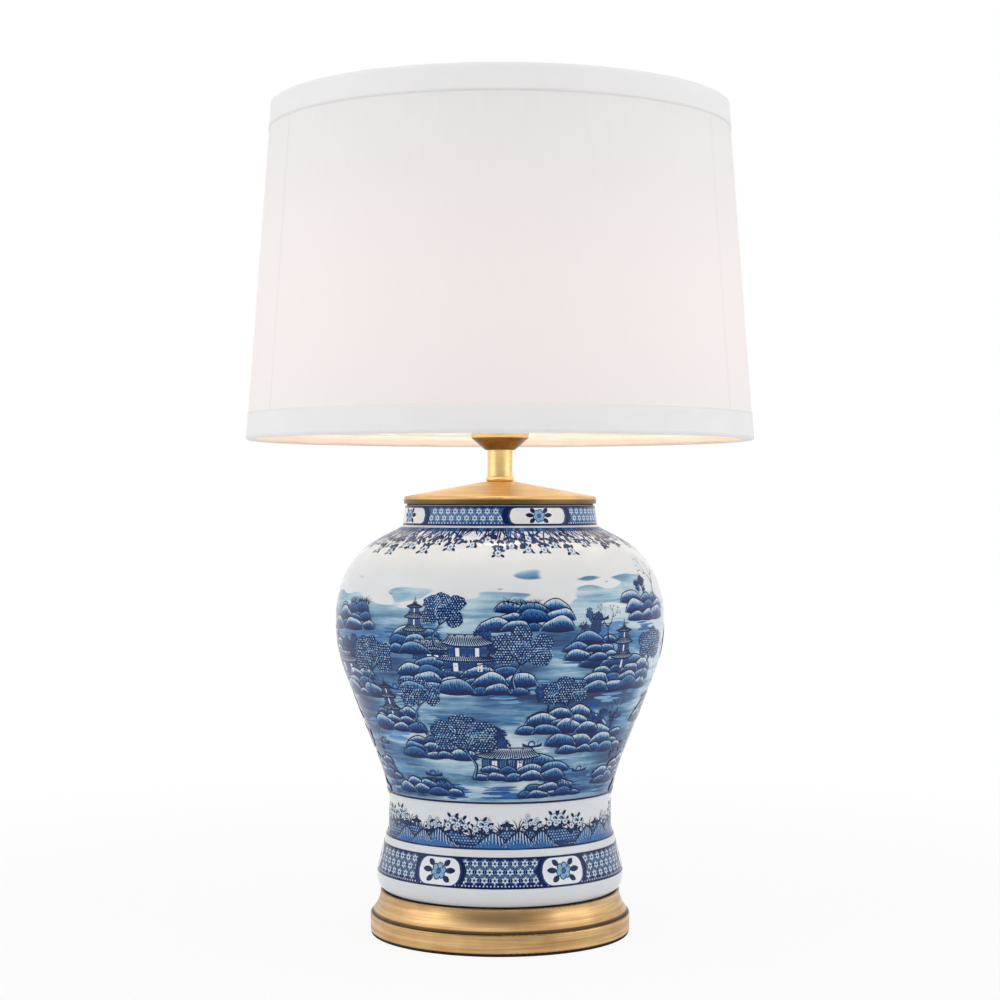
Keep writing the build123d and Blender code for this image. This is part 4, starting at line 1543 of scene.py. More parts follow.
@dataclass
class DiaperBand:
    """A band of florets in a net, broken by round-ended panels that hold a flower."""

    motifs: Motifs
    low: float
    high: float
    panels: int
    first: float
    panel_half: float
    bracket: float
    rows: int
    floret_gap: float
    flower: float
    ground: float
    dotted: float = 2.6
    dot_gap: float = 2.7
    dot: float = 0.62
    margin: float = 1.0
    line: float = 0.65

    GROUND_TONES = 14
    PANEL_TONES, PANEL_CELLS = 9, 40
    LEAVES = (4, 40, 140, 176, 216, 324)

    def paint(self) -> None:
        """Paints the ground, the net, the florets, the panels and the edge lines."""
        pen = self.motifs.painter
        pen.depth(0)
        pen.hoop(self.low, self.high, (self.ground,) * self.GROUND_TONES)
        pen.coat()
        middle = (self.low + self.high) / 2
        skin = pen.skin
        circle = 2 * pi * skin.radius(middle)
        count = int(circle / self.floret_gap)
        pitch = FULL_TURN / count
        tall = (self.high - self.low - self.dotted - self.margin) / self.rows
        for row in range(self.rows):
            for index in range(count):
                angle = (index + 0.5 * (row % 2)) * pitch - HALF_TURN
                if not self.in_panel(angle):
                    height = self.low + self.dotted + tall * (row + 0.5)
                    self.floret(Spot(skin, angle, height), tall)
            pen.dry()
        for angle in spread_evenly(int(circle / self.dot_gap), -HALF_TURN, HALF_TURN):
            spot = Spot(skin, angle, self.low + self.dotted * 0.56)
            pen.disc(spot, (0, 0), self.dot, Tone.MIST)
        pen.dry()
        for index in range(self.panels):
            self.panel(Spot(skin, self.first + index * FULL_TURN / self.panels, middle))
        pen.depth(3)
        for edge in (self.low, self.high):
            pen.hoop(edge - self.line, edge + self.line, (Tone.NAVY,) * 3)
        pen.dry()

    def in_panel(self, angle: float) -> bool:
        """Tells whether a floret would lie under a panel.

        Args:
            angle: The floret's place round the jar.

        Returns:
            Whether it would.
        """
        share = FULL_TURN / self.panels
        off = (angle - self.first + share / 2) % share - share / 2
        reach = self.panel_half + self.bracket
        return abs(radians(off)) * self.motifs.painter.skin.radius(self.low) < reach - 1.5

    def floret(self, spot: Spot, tall: float) -> None:
        """Paints a six-petalled floret inside its cell of the net.

        Args:
            spot: Its middle.
            tall: The cell's height.
        """
        pen = self.motifs.painter
        half, up = self.floret_gap / 2, tall / 2
        side = up * 0.4
        tip = up + side * 0.5
        corners = [(half, side), (0, tip), (-half, side), (-half, -side), (0, -tip), (half, -side)]
        for start, end in zip(corners, corners[1:]):
            pen.stroke(spot, [start, end], 0.6, Tone.PALE + 0.08)
        size = min(half, up) * 0.84
        for index in range(6):
            turn = pi * (index + 0.5) / 3
            start = (0.3 * size * cos(turn), 0.3 * size * sin(turn))
            pen.leaf(spot, start, degrees(turn), size * 0.8, size * 0.66, Tone.MIST + 0.02)

    def panel(self, spot: Spot) -> None:
        """Paints a white round-ended panel, its dark brackets and its flower.

        Args:
            spot: The panel's middle.
        """
        pen = self.motifs.painter
        tall = (self.high - self.low) / 2
        for level, half, up, tone in (
            (0.8, self.panel_half + self.bracket, tall, Tone.NAVY),
            (1.4, self.panel_half + self.bracket * 0.3, tall - 0.6, Tone.DEEP),
            (2.0, self.panel_half, tall - 0.9, Tone.WHITE),
        ):
            pen.depth(level)
            bulge = min(up * 0.9, half * 0.8)

            def edge(t: float, half: float = half, up: float = up, bulge: float = bulge) -> float:
                """Gives half the panel's height at a place along it."""
                inside = max(0.0, abs(2 * t - 1) * half - (half - bulge)) / bulge
                return up * sqrt(max(0.0, 1 - inside**2.4))

            pen.fill(
                spot, lambda t, half=half: half * (2 * t - 1), lambda t: -edge(t), edge,
                (tone,) * self.PANEL_TONES, self.PANEL_CELLS,
            )
        pen.depth(3)
        self.posy(spot)
        pen.dry()

    def posy(self, spot: Spot) -> None:
        """Paints the panel's flower among its leaves.

        Args:
            spot: The flower's middle.
        """
        pen, size = self.motifs.painter, self.flower
        rise = ((self.high - self.low) / 2 - 1.5) / (1.04 * size)
        for heading in self.LEAVES:
            turn = radians(heading)
            near = (size * 0.84 * cos(turn), size * 0.7 * sin(turn) * rise)
            length = size * (1.3 if abs(cos(turn)) > 0.9 else 0.98)
            pen.leaf(spot, near, heading, length, size * 0.68, Tone.NAVY)
        self.motifs.blossom(spot, size, Tone.SKY - 0.05, Tone.BLUE, 0)


class Plant(Enum):
    """What grows in the garden border."""

    BUSH = "bush"
    GRASS = "grass"
    STALK = "stalk"
    LODGE = "lodge"


@dataclass
class GardenBorder:
    """The border above the foot: flowers, grass and pointed rocks on dotted ground."""

    motifs: Motifs
    low: float = 79.0
    rise: float = 13.0
    repeats: int = 7
    line: float = 0.6
    ring_gap: float = 2.5
    ring_rise: float = 2.1
    first_ring: float = 1.5
    row: tuple[Plant, ...] = (
        Plant.BUSH, Plant.GRASS, Plant.BUSH, Plant.STALK, Plant.GRASS, Plant.LODGE,
        Plant.GRASS, Plant.STALK, Plant.STALK, Plant.GRASS, Plant.BUSH,
    )

    SWELLS = ((1.6, 5, 0), (1.3, 13, 1), (0.8, 29, 0))
    ROCKS_AT = (-19.0, 17.0, 0.0)
    BLOOMS = {
        Plant.BUSH: ((0, 0.86, 3.5), (-4.2, 0.52, 2.7), (4.0, 0.6, 2.6)),
        Plant.STALK: ((0, 1.0, 1.9), (-1.8, 0.74, 1.8), (1.9, 0.6, 1.8), (-1.4, 0.4, 1.7)),
    }

    def brow(self, angle: float) -> float:
        """Gives the ground's height above the line.

        Args:
            angle: The place round the jar.

        Returns:
            The height.
        """
        height = self.rise
        for swell, waves, start in self.SWELLS:
            height += swell * sin(waves * radians(angle) + start)
        return height

    def paint(self) -> None:
        """Paints the ground all round, and one garden after another on it."""
        pen, dice = self.motifs.painter, self.motifs.rng
        self.ground()
        share = FULL_TURN / self.repeats
        for index in range(self.repeats):
            start = index * share - HALF_TURN + 4
            for step, plant in enumerate(self.row):
                angle = start + share * (step + dice.uniform(0.3, 0.7)) / len(self.row)
                self.plant(Spot(pen.skin, angle, self.low + self.brow(angle) - 3), plant)
            self.rocks(Spot(pen.skin, start + share * 0.6, self.low))
            pen.dry()
        pen.depth(5)
        pen.hoop(self.low - self.line, self.low + self.line, (Tone.NAVY,) * 3)
        pen.dry()

    def ground(self) -> None:
        """Paints dark ground with pale rings on it."""
        pen, dice = self.motifs.painter, self.motifs.rng
        pen.depth(1)

        def place(along: float, up: float) -> Dab:
            """Gives a place on the ground."""
            angle = -HALF_TURN + FULL_TURN * along
            return (angle, self.low + self.brow(angle) * up), Tone.DEEP + 0.1 - 0.1 * up

        pen.lay(360, 6, place)
        pen.coat()
        count = int(2 * pi * pen.skin.radius(self.low) / self.ring_gap)
        for row in range(int(self.rise / 2.0)):
            up = self.first_ring + row * self.ring_rise
            for share in spread_evenly(count, -HALF_TURN, HALF_TURN):
                angle = share + (row % 2) * FULL_TURN / count / 2
                if up < self.brow(angle) - 0.5:
                    spot = Spot(pen.skin, angle, self.low + up)
                    pen.disc(spot, (0, 0), dice.uniform(0.66, 0.9), Tone.PALE + 0.04)
                    pen.lift += pen.COAT
                    pen.disc(spot, (0, 0), 0.34, Tone.DEEP, 4)
                    pen.lift -= pen.COAT
            pen.dry()

    def rocks(self, spot: Spot) -> None:
        """Paints pointed rocks with slanting strata.

        Args:
            spot: The middle of their foot.
        """
        pen, dice = self.motifs.painter, self.motifs.rng
        for step, x in enumerate(self.ROCKS_AT):
            pen.depth(2.4 + step * 0.7)
            wide, tall = dice.uniform(12, 15), dice.uniform(11.5, 15.5)
            peak = dice.uniform(0.38, 0.62)

            def crest(t: float, tall: float = tall, peak: float = peak) -> float:
                """Gives the rock's upper edge."""
                side = t / peak if t < peak else (1 - t) / (1 - peak)
                return 1.0 + tall * min(1.0, side) ** 0.75

            pen.fill(
                spot, lambda t, x=x, wide=wide: x + wide * (2 * t - 1), lambda t: 0.0, crest,
                (0.66, 0.6, 0.5, 0.44), 12,
            )
            pen.coat()
            for t in spread_evenly(11, 0.06, 0.94):
                away = wide * (t - peak) * 0.9
                start = (x + wide * (2 * t - 1), crest(t) * 0.97)
                end = (start[0] + away, 0.4)
                bend = ((start[0] + end[0]) / 2 - away * 0.2, start[1] * 0.45)
                dark = dice.uniform(0.9, 1.7)
                pen.stroke(spot, [start, bend, end], dark, Tone.NAVY - 0.05, Taper.TAIL, 5)
                light = [(px + dice.uniform(0.9, 1.4), py * 0.93) for px, py in (start, bend, end)]
                pen.stroke(spot, light, dice.uniform(0.5, 0.9), Tone.MIST, Taper.TAIL, 5)
            pen.coat()
            edge = [(x + wide * (t / 5 - 1), crest(t / 10)) for t in range(11)]
            pen.stroke(spot, edge, 1.1, Tone.NAVY, Taper.EVEN, 14)

    def plant(self, spot: Spot, plant: Plant) -> None:
        """Paints one of the border's plants.

        Args:
            spot: Its foot.
            plant: Which plant it is.
        """
        pen, dice = self.motifs.painter, self.motifs.rng
        tall = dice.uniform(10.5, 13.5)
        pen.depth(1.8)
        if plant is Plant.GRASS:
            self.motifs.tuft(spot, tall, 6, 1.8)
            return
        if plant is Plant.LODGE:
            self.motifs.tower(spot.moved(0, 1.5), 3.1, 1, 1.8)
            return
        pen.stroke(spot, [(0, -2), (0.6, tall * 0.4), (0, tall * 0.75)], 0.8, Tone.NAVY)
        blooms = self.BLOOMS[plant]
        for x, y, _ in blooms:
            for turn in (dice.uniform(-30, 40), dice.uniform(140, 220)):
                pen.leaf(spot, (x * 0.5, tall * (y - 0.3)), turn, 4.4, 2.4, Tone.NAVY)
        leaves = 4 if plant is Plant.BUSH else 0
        for x, y, radius in blooms:
            lift = pen.lift
            self.motifs.blossom(spot.moved(x, tall * y), radius, Tone.MIST, Tone.SKY, leaves)
            pen.lift = lift + pen.COAT


@dataclass
class ShoulderSprays:
    """Flower sprays that hang from the collar onto the jar's shoulder, under a feathery fringe."""

    motifs: Motifs
    root: float = 321.5
    count: int = 13
    feathers: int = 26

    STALKS = ((-20, -7), (-12, -12), (-3, -9), (5, -14), (13, -8), (20, -11))

    def paint(self) -> None:
        """Paints the fringe under the collar and the sprays."""
        pen, dice = self.motifs.painter, self.motifs.rng
        pen.depth(0.2)
        pen.hoop(self.root - 2.0, self.root + 0.8, (Tone.BLUE, Tone.DEEP, Tone.DEEP, Tone.NAVY))
        share = FULL_TURN / self.count
        for index in range(self.count):
            for step in range(self.feathers):
                angle = (index + step / self.feathers) * share + dice.uniform(-1, 1)
                swell = 0.55 + 0.45 * sin(2 * pi * (step / self.feathers + 0.1 * index))
                pen.depth(0.5 + 0.5 * (step % 2))
                drop = dice.uniform(3.0, 5.0) + 5.5 * swell
                sway = dice.uniform(-4.5, 4.5)
                tone = dice.choice((Tone.NAVY, Tone.DEEP, Tone.BLUE))
                path = [(0, 0.5), (sway * 0.4, -drop * 0.6), (sway, -drop)]
                spot = Spot(pen.skin, angle, self.root)
                pen.stroke(spot, path, dice.uniform(1.0, 2.0), tone, Taper.TAIL, 4)
            pen.dry()
            angle = index * share + dice.uniform(-4, 4)
            self.spray(Spot(pen.skin, angle, self.root - 2, 1.0, index % 2 == 0))

    def spray(self, spot: Spot) -> None:
        """Paints one spray.

        Args:
            spot: Where it hangs from.
        """
        pen, dice = self.motifs.painter, self.motifs.rng
        for reach, drop in self.STALKS:
            pen.depth(1.8)
            tip = (reach + dice.uniform(-2, 2), drop + dice.uniform(-2, 2))
            stalk = [(reach * 0.4, 0), (reach * 0.7, drop * 0.4), tip]
            pen.stroke(spot, stalk, 0.9, Tone.NAVY, Taper.EVEN, 6)
            for side in (-1, 1):
                for share in (0.5, 0.75, 0.95):
                    x = reach * 0.4 + (tip[0] - reach * 0.4) * share
                    heading = -90 + side * dice.uniform(25, 85)
                    length, tone = dice.uniform(3.2, 5.0), Tone.NAVY - dice.uniform(0, 0.16)
                    pen.leaf(spot, (x, tip[1] * (share - 0.1)), heading, length, 2.2, tone)
            if dice.random() < 0.7:
                size = dice.uniform(2.2, 3.0)
                self.motifs.blossom(spot.moved(*tip), size, Tone.MIST, Tone.SKY, 4)
        pen.dry()


class Scenery(Enum):
    """What stands on a shore."""

    ROCKS = "rocks"
    HALL = "hall"
    COURT = "court"
    TOWER = "tower"
    BRIDGE = "bridge"
    BARE = "bare"


@dataclass(frozen=True)
class Shore:
    """A row of islands at one height of the landscape."""

    height: float
    islands: int
    width: float
    rows: int
    large: float
    first: float
    row: tuple[Scenery, ...]


@dataclass
class LakeView:
    """The landscape round the jar's belly: rocky shores, halls, trees, bridges and boats."""

    motifs: Motifs
    shores: tuple[Shore, ...]
    level: float = 0.0
    level_step: float = 1.7
    shallow: float = 117.0

    def paint(self) -> None:
        """Paints the water, and the shores from the far one to the near one."""
        for step, shore in enumerate(self.shores):
            self.water(shore)
            for index in range(shore.islands):
                self.island(shore, index, 1.0 + self.level + step * self.level_step)

    def at(self, angle: float, height: float, flip: bool = False) -> Spot:
        """Gives a spot on the jar."""
        return Spot(self.motifs.painter.skin, angle, height, 1.0, flip)

    def water(self, shore: Shore) -> None:
        """Paints streaks of wash, ripples and boats between two shores.

        Args:
            shore: The shore that they lie round.
        """
        pen, dice = self.motifs.painter, self.motifs.rng
        for group in range(shore.islands * 3):
            height = max(shore.height + dice.uniform(-12, 16), self.shallow)
            spot = self.at(group * FULL_TURN / shore.islands / 3 + dice.uniform(-7, 7), height)
            tone = dice.uniform(Tone.SKY - 0.06, Tone.BLUE + 0.1)
            for line in range(dice.randint(3, 7)):
                pen.depth(line * 0.08)
                long, y = dice.uniform(9, 27), line * 1.7 + dice.uniform(-0.5, 0.5)
                start = dice.uniform(-7, 7) - long / 2
                middle = (start + long * 0.5, y + dice.uniform(-0.7, 0.7))
                path = [(start, y), middle, (start + long, y + dice.uniform(-0.6, 0.6))]
                width, shade = dice.uniform(1.1, 3.0), tone + dice.uniform(-0.06, 0.06)
                pen.stroke(spot, path, width, shade, Taper.LENS, 12)
            pen.dry()
        for index in range(shore.islands):
            angle = shore.first + (index + 0.5) * FULL_TURN / shore.islands
            height = max(shore.height + dice.uniform(-4, 6), self.shallow + 9)
            self.motifs.ripples(self.at(angle, height), 26, 4)
            if dice.random() < 0.45:
                spot = self.at(angle + dice.uniform(-3, 3), shore.height + dice.uniform(4, 9))
                self.motifs.boat(spot, dice.uniform(7, 9), 0.8)

    def island(self, shore: Shore, index: int, depth: float) -> None:
        """Paints one island with what stands on it.

        Args:
            shore: The shore that it belongs to.
            index: Its place along the shore.
            depth: How near it is.
        """
        draw, dice = self.motifs, self.motifs.rng
        flip = dice.random() < 0.5
        angle = shore.first + index * FULL_TURN / shore.islands + dice.uniform(-3, 3)
        foot = self.at(angle, shore.height + dice.uniform(-4, 4), flip)
        step = shore.large * 0.27
        brow = (shore.rows - 1) * step
        half = shore.width * 0.5
        scenery = shore.row[index % len(shore.row)]
        among = depth + 0.9 * (shore.rows - 2) - 0.35
        if scenery in (Scenery.HALL, Scenery.COURT):
            court = scenery is Scenery.COURT
            draw.leafy_tree(foot.moved(-half * 0.3, brow * 0.9), dice.uniform(30, 36), depth - 0.6)
            if court:
                wing = foot.moved(half * 0.62, brow + step * 0.9)
                draw.hall(wing, dice.uniform(15, 17), 1, depth - 0.3, (2, 3))
            hall = foot.moved(half * 0.02, brow - step * 0.4)
            draw.hall(hall, dice.uniform(18, 20), 2 if court else 1, among, (1, 4))
            grove = foot.moved(-half * 0.78, step * 0.5)
            draw.ringed_tree(grove, dice.uniform(38, 46), among + 0.5)
        elif scenery is Scenery.TOWER:
            draw.tower(foot.moved(half * 0.25, brow - step * 0.4), dice.uniform(6.0, 7.4), 3, among)
            draw.ringed_tree(foot.moved(-half * 0.55, step), dice.uniform(32, 40), among + 0.3)
        elif scenery is Scenery.BRIDGE:
            draw.bridge(foot.moved(half * 1.05, step * 0.4), 34, 8, depth - 0.4)
            draw.leafy_tree(foot.moved(-half * 0.2, brow), dice.uniform(28, 34), depth - 0.4)
            draw.ringed_tree(foot.moved(half * 0.4, step), dice.uniform(30, 36), among + 0.3)
        elif scenery is Scenery.BARE:
            draw.bare_tree(foot.moved(-half * 0.3, brow * 0.8), dice.uniform(30, 38), among)
            draw.leafy_tree(foot.moved(half * 0.4, brow), dice.uniform(20, 26), depth - 0.2)
        else:
            for x in spread_evenly(9, -half * 0.5, half * 0.5):
                grass = foot.moved(x, brow + step * 0.8 + dice.uniform(-1, 1.4))
                draw.tuft(grass, dice.uniform(4, 7), 5, depth)
        draw.pile(foot, shore.width * dice.uniform(0.85, 1.15), shore.rows, depth, shore.large)


@dataclass
class PaintedJar:
    """The porcelain jar and everything painted on it."""

    node: str = "vase"
    body: str = "lamp"
    slot: str = "glazed_porcelain"
    seed: int = 41
    glaze: Finish = WashedGlaze("finish_washed_glaze")
    paint: Finish = CobaltPaint("finish_cobalt_paint")
    birds: int = 9
    bird_height: float = 277.0
    line: Pair = (113.2, 114.8)
    far: tuple[Shore, ...] = (
        Shore(249, 6, 58, 3, 25, 4, (Scenery.ROCKS, Scenery.BARE, Scenery.ROCKS)),
        Shore(228, 6, 44, 3, 22, 34, (Scenery.BARE, Scenery.ROCKS, Scenery.TOWER)),
    )
    middle: tuple[Shore, ...] = (
        Shore(196, 6, 84, 4, 24, -9, (Scenery.COURT, Scenery.TOWER, Scenery.HALL)),
        Shore(170, 6, 60, 3, 22, 20, (Scenery.BRIDGE, Scenery.ROCKS, Scenery.TOWER)),
    )
    near: tuple[Shore, ...] = (
        Shore(149, 5, 58, 3, 21, -25, (Scenery.ROCKS, Scenery.BARE, Scenery.BRIDGE)),
        Shore(129, 5, 60, 3, 20, 2, (Scenery.HALL, Scenery.BARE, Scenery.TOWER)),
        Shore(115.8, 6, 44, 2, 18, 27, (Scenery.ROCKS,)),
    )

    MIDDLE_LEVEL, NEAR_LEVEL, LINE_LEVEL = 3.4, 6.8, 16

    def build(self) -> None:
        """Glazes the jar and paints its bands, border, sprays and landscape."""
        dress(self.node, self.glaze)
        skin = TurnedSkin.measured(self.node)
        for name, make in (
            ("jar_collar_painting", self.collar),
            ("jar_shoulder_painting", self.shoulder),
            ("jar_far_painting", self.far_shores),
            ("jar_middle_painting", self.middle_shores),
            ("jar_near_painting", self.near_shores),
            ("jar_border_painting", self.border),
            ("jar_foot_painting", self.foot),
        ):
            painter = Painter(skin)
            make(Motifs(painter, random.Random(self.seed + len(name))))
            piece = painter.wrap(name)
            piece.data.materials.append(self.paint.material())
            settle(piece, self.body)

    def collar(self, motifs: Motifs) -> None:
        """Paints the band on the collar.

        Args:
            motifs: What it is put together from.
        """
        DiaperBand(
            motifs, low=324.4, high=338.3, panels=4, first=23.0, panel_half=23.5, bracket=6.2,
            rows=2, floret_gap=6.5, flower=5.2, ground=Tone.BLUE + 0.08,
        ).paint()

    def shoulder(self, motifs: Motifs) -> None:
        """Paints the hanging sprays."""
        ShoulderSprays(motifs).paint()

    def far_shores(self, motifs: Motifs) -> None:
        """Paints the far hills, and birds above them.

        Args:
            motifs: What they are put together from.
        """
        view = LakeView(motifs, self.far)
        view.paint()
        for angle in spread_evenly(self.birds, -HALF_TURN, HALF_TURN):
            motifs.bird(view.at(angle, self.bird_height + 6 * sin(angle)), 2.0)

    def middle_shores(self, motifs: Motifs) -> None:
        """Paints the halls and groves across the water."""
        LakeView(motifs, self.middle, self.MIDDLE_LEVEL).paint()

    def near_shores(self, motifs: Motifs) -> None:
        """Paints the islands and gardens in front, and the line under them.

        Args:
            motifs: What they are put together from.
        """
        LakeView(motifs, self.near, self.NEAR_LEVEL).paint()
        motifs.painter.depth(self.LINE_LEVEL)
        motifs.painter.hoop(*self.line, (Tone.NAVY,) * 3)

    def border(self, motifs: Motifs) -> None:
        """Paints the garden border."""
        GardenBorder(motifs).paint()

    def foot(self, motifs: Motifs) -> None:
        """Paints the band above the foot.

        Args:
            motifs: What it is put together from.
        """
        DiaperBand(
            motifs, low=50.6, high=72.4, panels=6, first=30.6, panel_half=18.0, bracket=4.8,
            rows=3, floret_gap=7.7, flower=6.6, ground=Tone.DEEP + 0.1,
        ).paint()


def dress(node: str, finish: Finish) -> None:
    """Gives a CAD node a finish.

    Args:
        node: The node's name.
        finish: The finish that it gets.
    """
    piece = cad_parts[node]
    if not piece.material_slots:
        piece.data.materials.append(None)
    for slot in piece.material_slots:
        slot.material = finish.material()
    log.info("%s wears %s", node, finish.name)


def dress_all(*groups: tuple[Finish, tuple[str, ...]]) -> None:
    """Gives groups of CAD nodes their finishes.

    Args:
        groups: Each finish with the names of its nodes.
    """
    for finish, nodes in groups:
        for node in nodes:
            dress(node, finish)


def settle(piece: bpy.types.Object, body: str) -> None:
    """Lets a new piece ride on its body and reports it.

    Args:
        piece: The piece.
        body: The body that it moves with.
    """
    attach(piece, body)
    log.info("%s: %d faces on %s", piece.name, len(piece.data.polygons), body)


@dataclass
class BrassFittings:
    """The foot, the cap and the neck, with what they stand on and hide."""

    # The foot's bands darken its groove and its top and bottom edges.
    foot: Finish = BrushedBrass(
        "finish_foot_brass",
        bands=((17.3 * MM, 0.9 * MM, 0.85), (34.9 * MM, 0.5 * MM, 0.6), (1.9 * MM, 0.4 * MM, 0.5)),
    )
    # The cap's band darkens the lower edge of its rim, by the gasket: painted shade.
    cap: Finish = BrushedBrass(
        "finish_cap_brass", srgb(231, 196, 135), srgb(201, 161, 106), rough=(0.34, 0.5),
        rows=1100.0, bands=((341.8 * MM, 1.6 * MM, 0.8),),
    )
    # The cup's brass is darker than the other fittings: painted shade under the lamp shade. Its
    # light band colour is a painted highlight.
    cup: Finish = BrushedBrass(
        "finish_cup_brass", srgb(152, 124, 89), srgb(119, 93, 66), srgb(240, 208, 148),
        rough=(0.3, 0.44),
    )
    lip: float = 5.6
    lip_fade: float = 0.7
    neck: Finish = BrushedBrass(
        "finish_neck_brass", srgb(250, 222, 164), srgb(236, 198, 130), rough=(0.26, 0.36),
        rows=2200.0,
    )
    rubber: Finish = Grained(
        "finish_rubber", srgb(34, 33, 32), srgb(22, 22, 22), (0.6, 0.8), 0.0, 900.0, 0.12
    )
    cement: Finish = Grained(
        "finish_cement", srgb(150, 147, 140), srgb(112, 108, 102), (0.85, 0.95), 0.0, 350.0, 0.5
    )
    steel: Finish = Grained(
        "finish_zinc_steel", srgb(190, 192, 196), srgb(150, 152, 158),
        (0.28, 0.45), 1.0, 900.0, 0.06,
    )

    def build(self) -> None:
        """Dresses the fittings, with a painted highlight on the cup's lip."""
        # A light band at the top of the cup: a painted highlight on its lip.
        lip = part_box("socket_cup")[1].z - self.lip / 2 * MM
        cup = replace(self.cup, bands=((lip, (self.lip / 2 - self.lip_fade) * MM, 1.0),))
        fixings = ("threaded_rod", "lower_washer", "lower_nut", "upper_nut", "switch_spindle")
        dress_all(
            (self.foot, ("base_foot",)),
            (self.cap, ("vase_cap",)),
            (cup, ("socket_cup",)),
            (self.neck, ("neck_ring", "neck_tube")),
            (self.rubber, ("cord_bush", "foot_gasket", "cap_gasket")),
            (self.cement, ("base_weight",)),
            (self.steel, fixings),
        )


@dataclass
class Lampholder:
    """The screw lampholder, its switch and the ring that clamps the shade."""

    phenolic: Finish = Grained(
        "finish_phenolic", srgb(36, 34, 33), srgb(26, 25, 24), (0.28, 0.42), 0.0, 420.0, 0.03
    )
    steatite: Finish = Grained(
        "finish_steatite", srgb(232, 228, 218), srgb(214, 209, 198), (0.35, 0.5), 0.0, 300.0, 0.06
    )
    contact: Finish = Grained(
        "finish_contact_brass", srgb(222, 184, 110), srgb(190, 150, 84),
        (0.22, 0.36), 1.0, 700.0, 0.04,
    )

    def build(self) -> None:
        """Dresses the lampholder."""
        dress_all(
            (self.phenolic, ("holder_base", "holder_barrel", "switch_knob", "shade_ring")),
            (self.steatite, ("holder_block",)),
            (self.contact, ("terminal_screws", "screw_shell", "centre_contact", "switch_collar")),
        )


@dataclass
class Bulb:
    """The lit globe bulb."""

    metal: Finish = Grained(
        "finish_bulb_metal", srgb(206, 206, 208), srgb(178, 178, 182), (0.2, 0.34), 1.0, 700.0, 0.05
    )
    insulation: Finish = Grained(
        "finish_bulb_insulation", srgb(40, 38, 40), srgb(28, 26, 28), (0.2, 0.3), 0.0, 500.0, 0.03
    )
    plastic: Finish = Grained(
        "finish_bulb_plastic", srgb(240, 238, 234), srgb(228, 225, 220),
        (0.35, 0.45), 0.0, 500.0, 0.03,
    )
    board: Finish = Grained(
        "finish_board", srgb(236, 236, 232), srgb(220, 220, 216), (0.45, 0.55), 0.0, 500.0, 0.03
    )

    def build(self) -> None:
        """Dresses the bulb, and lights its globe at its middle height."""
        low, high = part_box("bulb_globe")
        middle = (low.z + high.z) / 2
        glow = Glowing("finish_lit_globe", middle, high.z - middle)
        dress_all(
            (self.metal, ("bulb_contact", "bulb_screw_cap")),
            (self.insulation, ("bulb_insulator",)),
            (self.plastic, ("bulb_body",)),
            (self.board, ("light_board",)),
            (glow, ("bulb_globe",)),
        )


def spun(name: str, profile: Sequence[Pair], steps: int, lie: Lie) -> bpy.types.Object:
    """Turns a profile once round the lamp's axis into a sheet.

    Args:
        name: The piece's name.
        profile: Radii and heights along the profile, in millimetres.
        steps: How many steps the turn has.
        lie: Gives how far the sheet stands out, in millimetres, at an angle and a height.

    Returns:
        The sheet, facing left of the profile's run.
    """
    shape = bmesh.new()
    verts = [shape.verts.new((0, -radius * MM, height * MM)) for radius, height in profile]
    edges = [shape.edges.new(pair) for pair in zip(verts, verts[1:])]
    turned = {"axis": (0, 0, 1), "cent": (0, 0, 0), "angle": 2 * pi, "use_merge": True}
    bmesh.ops.spin(shape, geom=[*verts, *edges], steps=steps, **turned)
    bmesh.ops.remove_doubles(shape, verts=shape.verts[:], dist=1e-6)
    bmesh.ops.recalc_face_normals(shape, faces=shape.faces[:])
    for vert in shape.verts:
        radius = hypot(vert.co.x, vert.co.y)
        angle = degrees(atan2(vert.co.x, -vert.co.y))
        grown = 1 + lie(angle, vert.co.z / MM) * MM / radius
        vert.co.x *= grown
        vert.co.y *= grown
    for face in shape.faces:
        face.smooth = True
    return placed(name, shape)


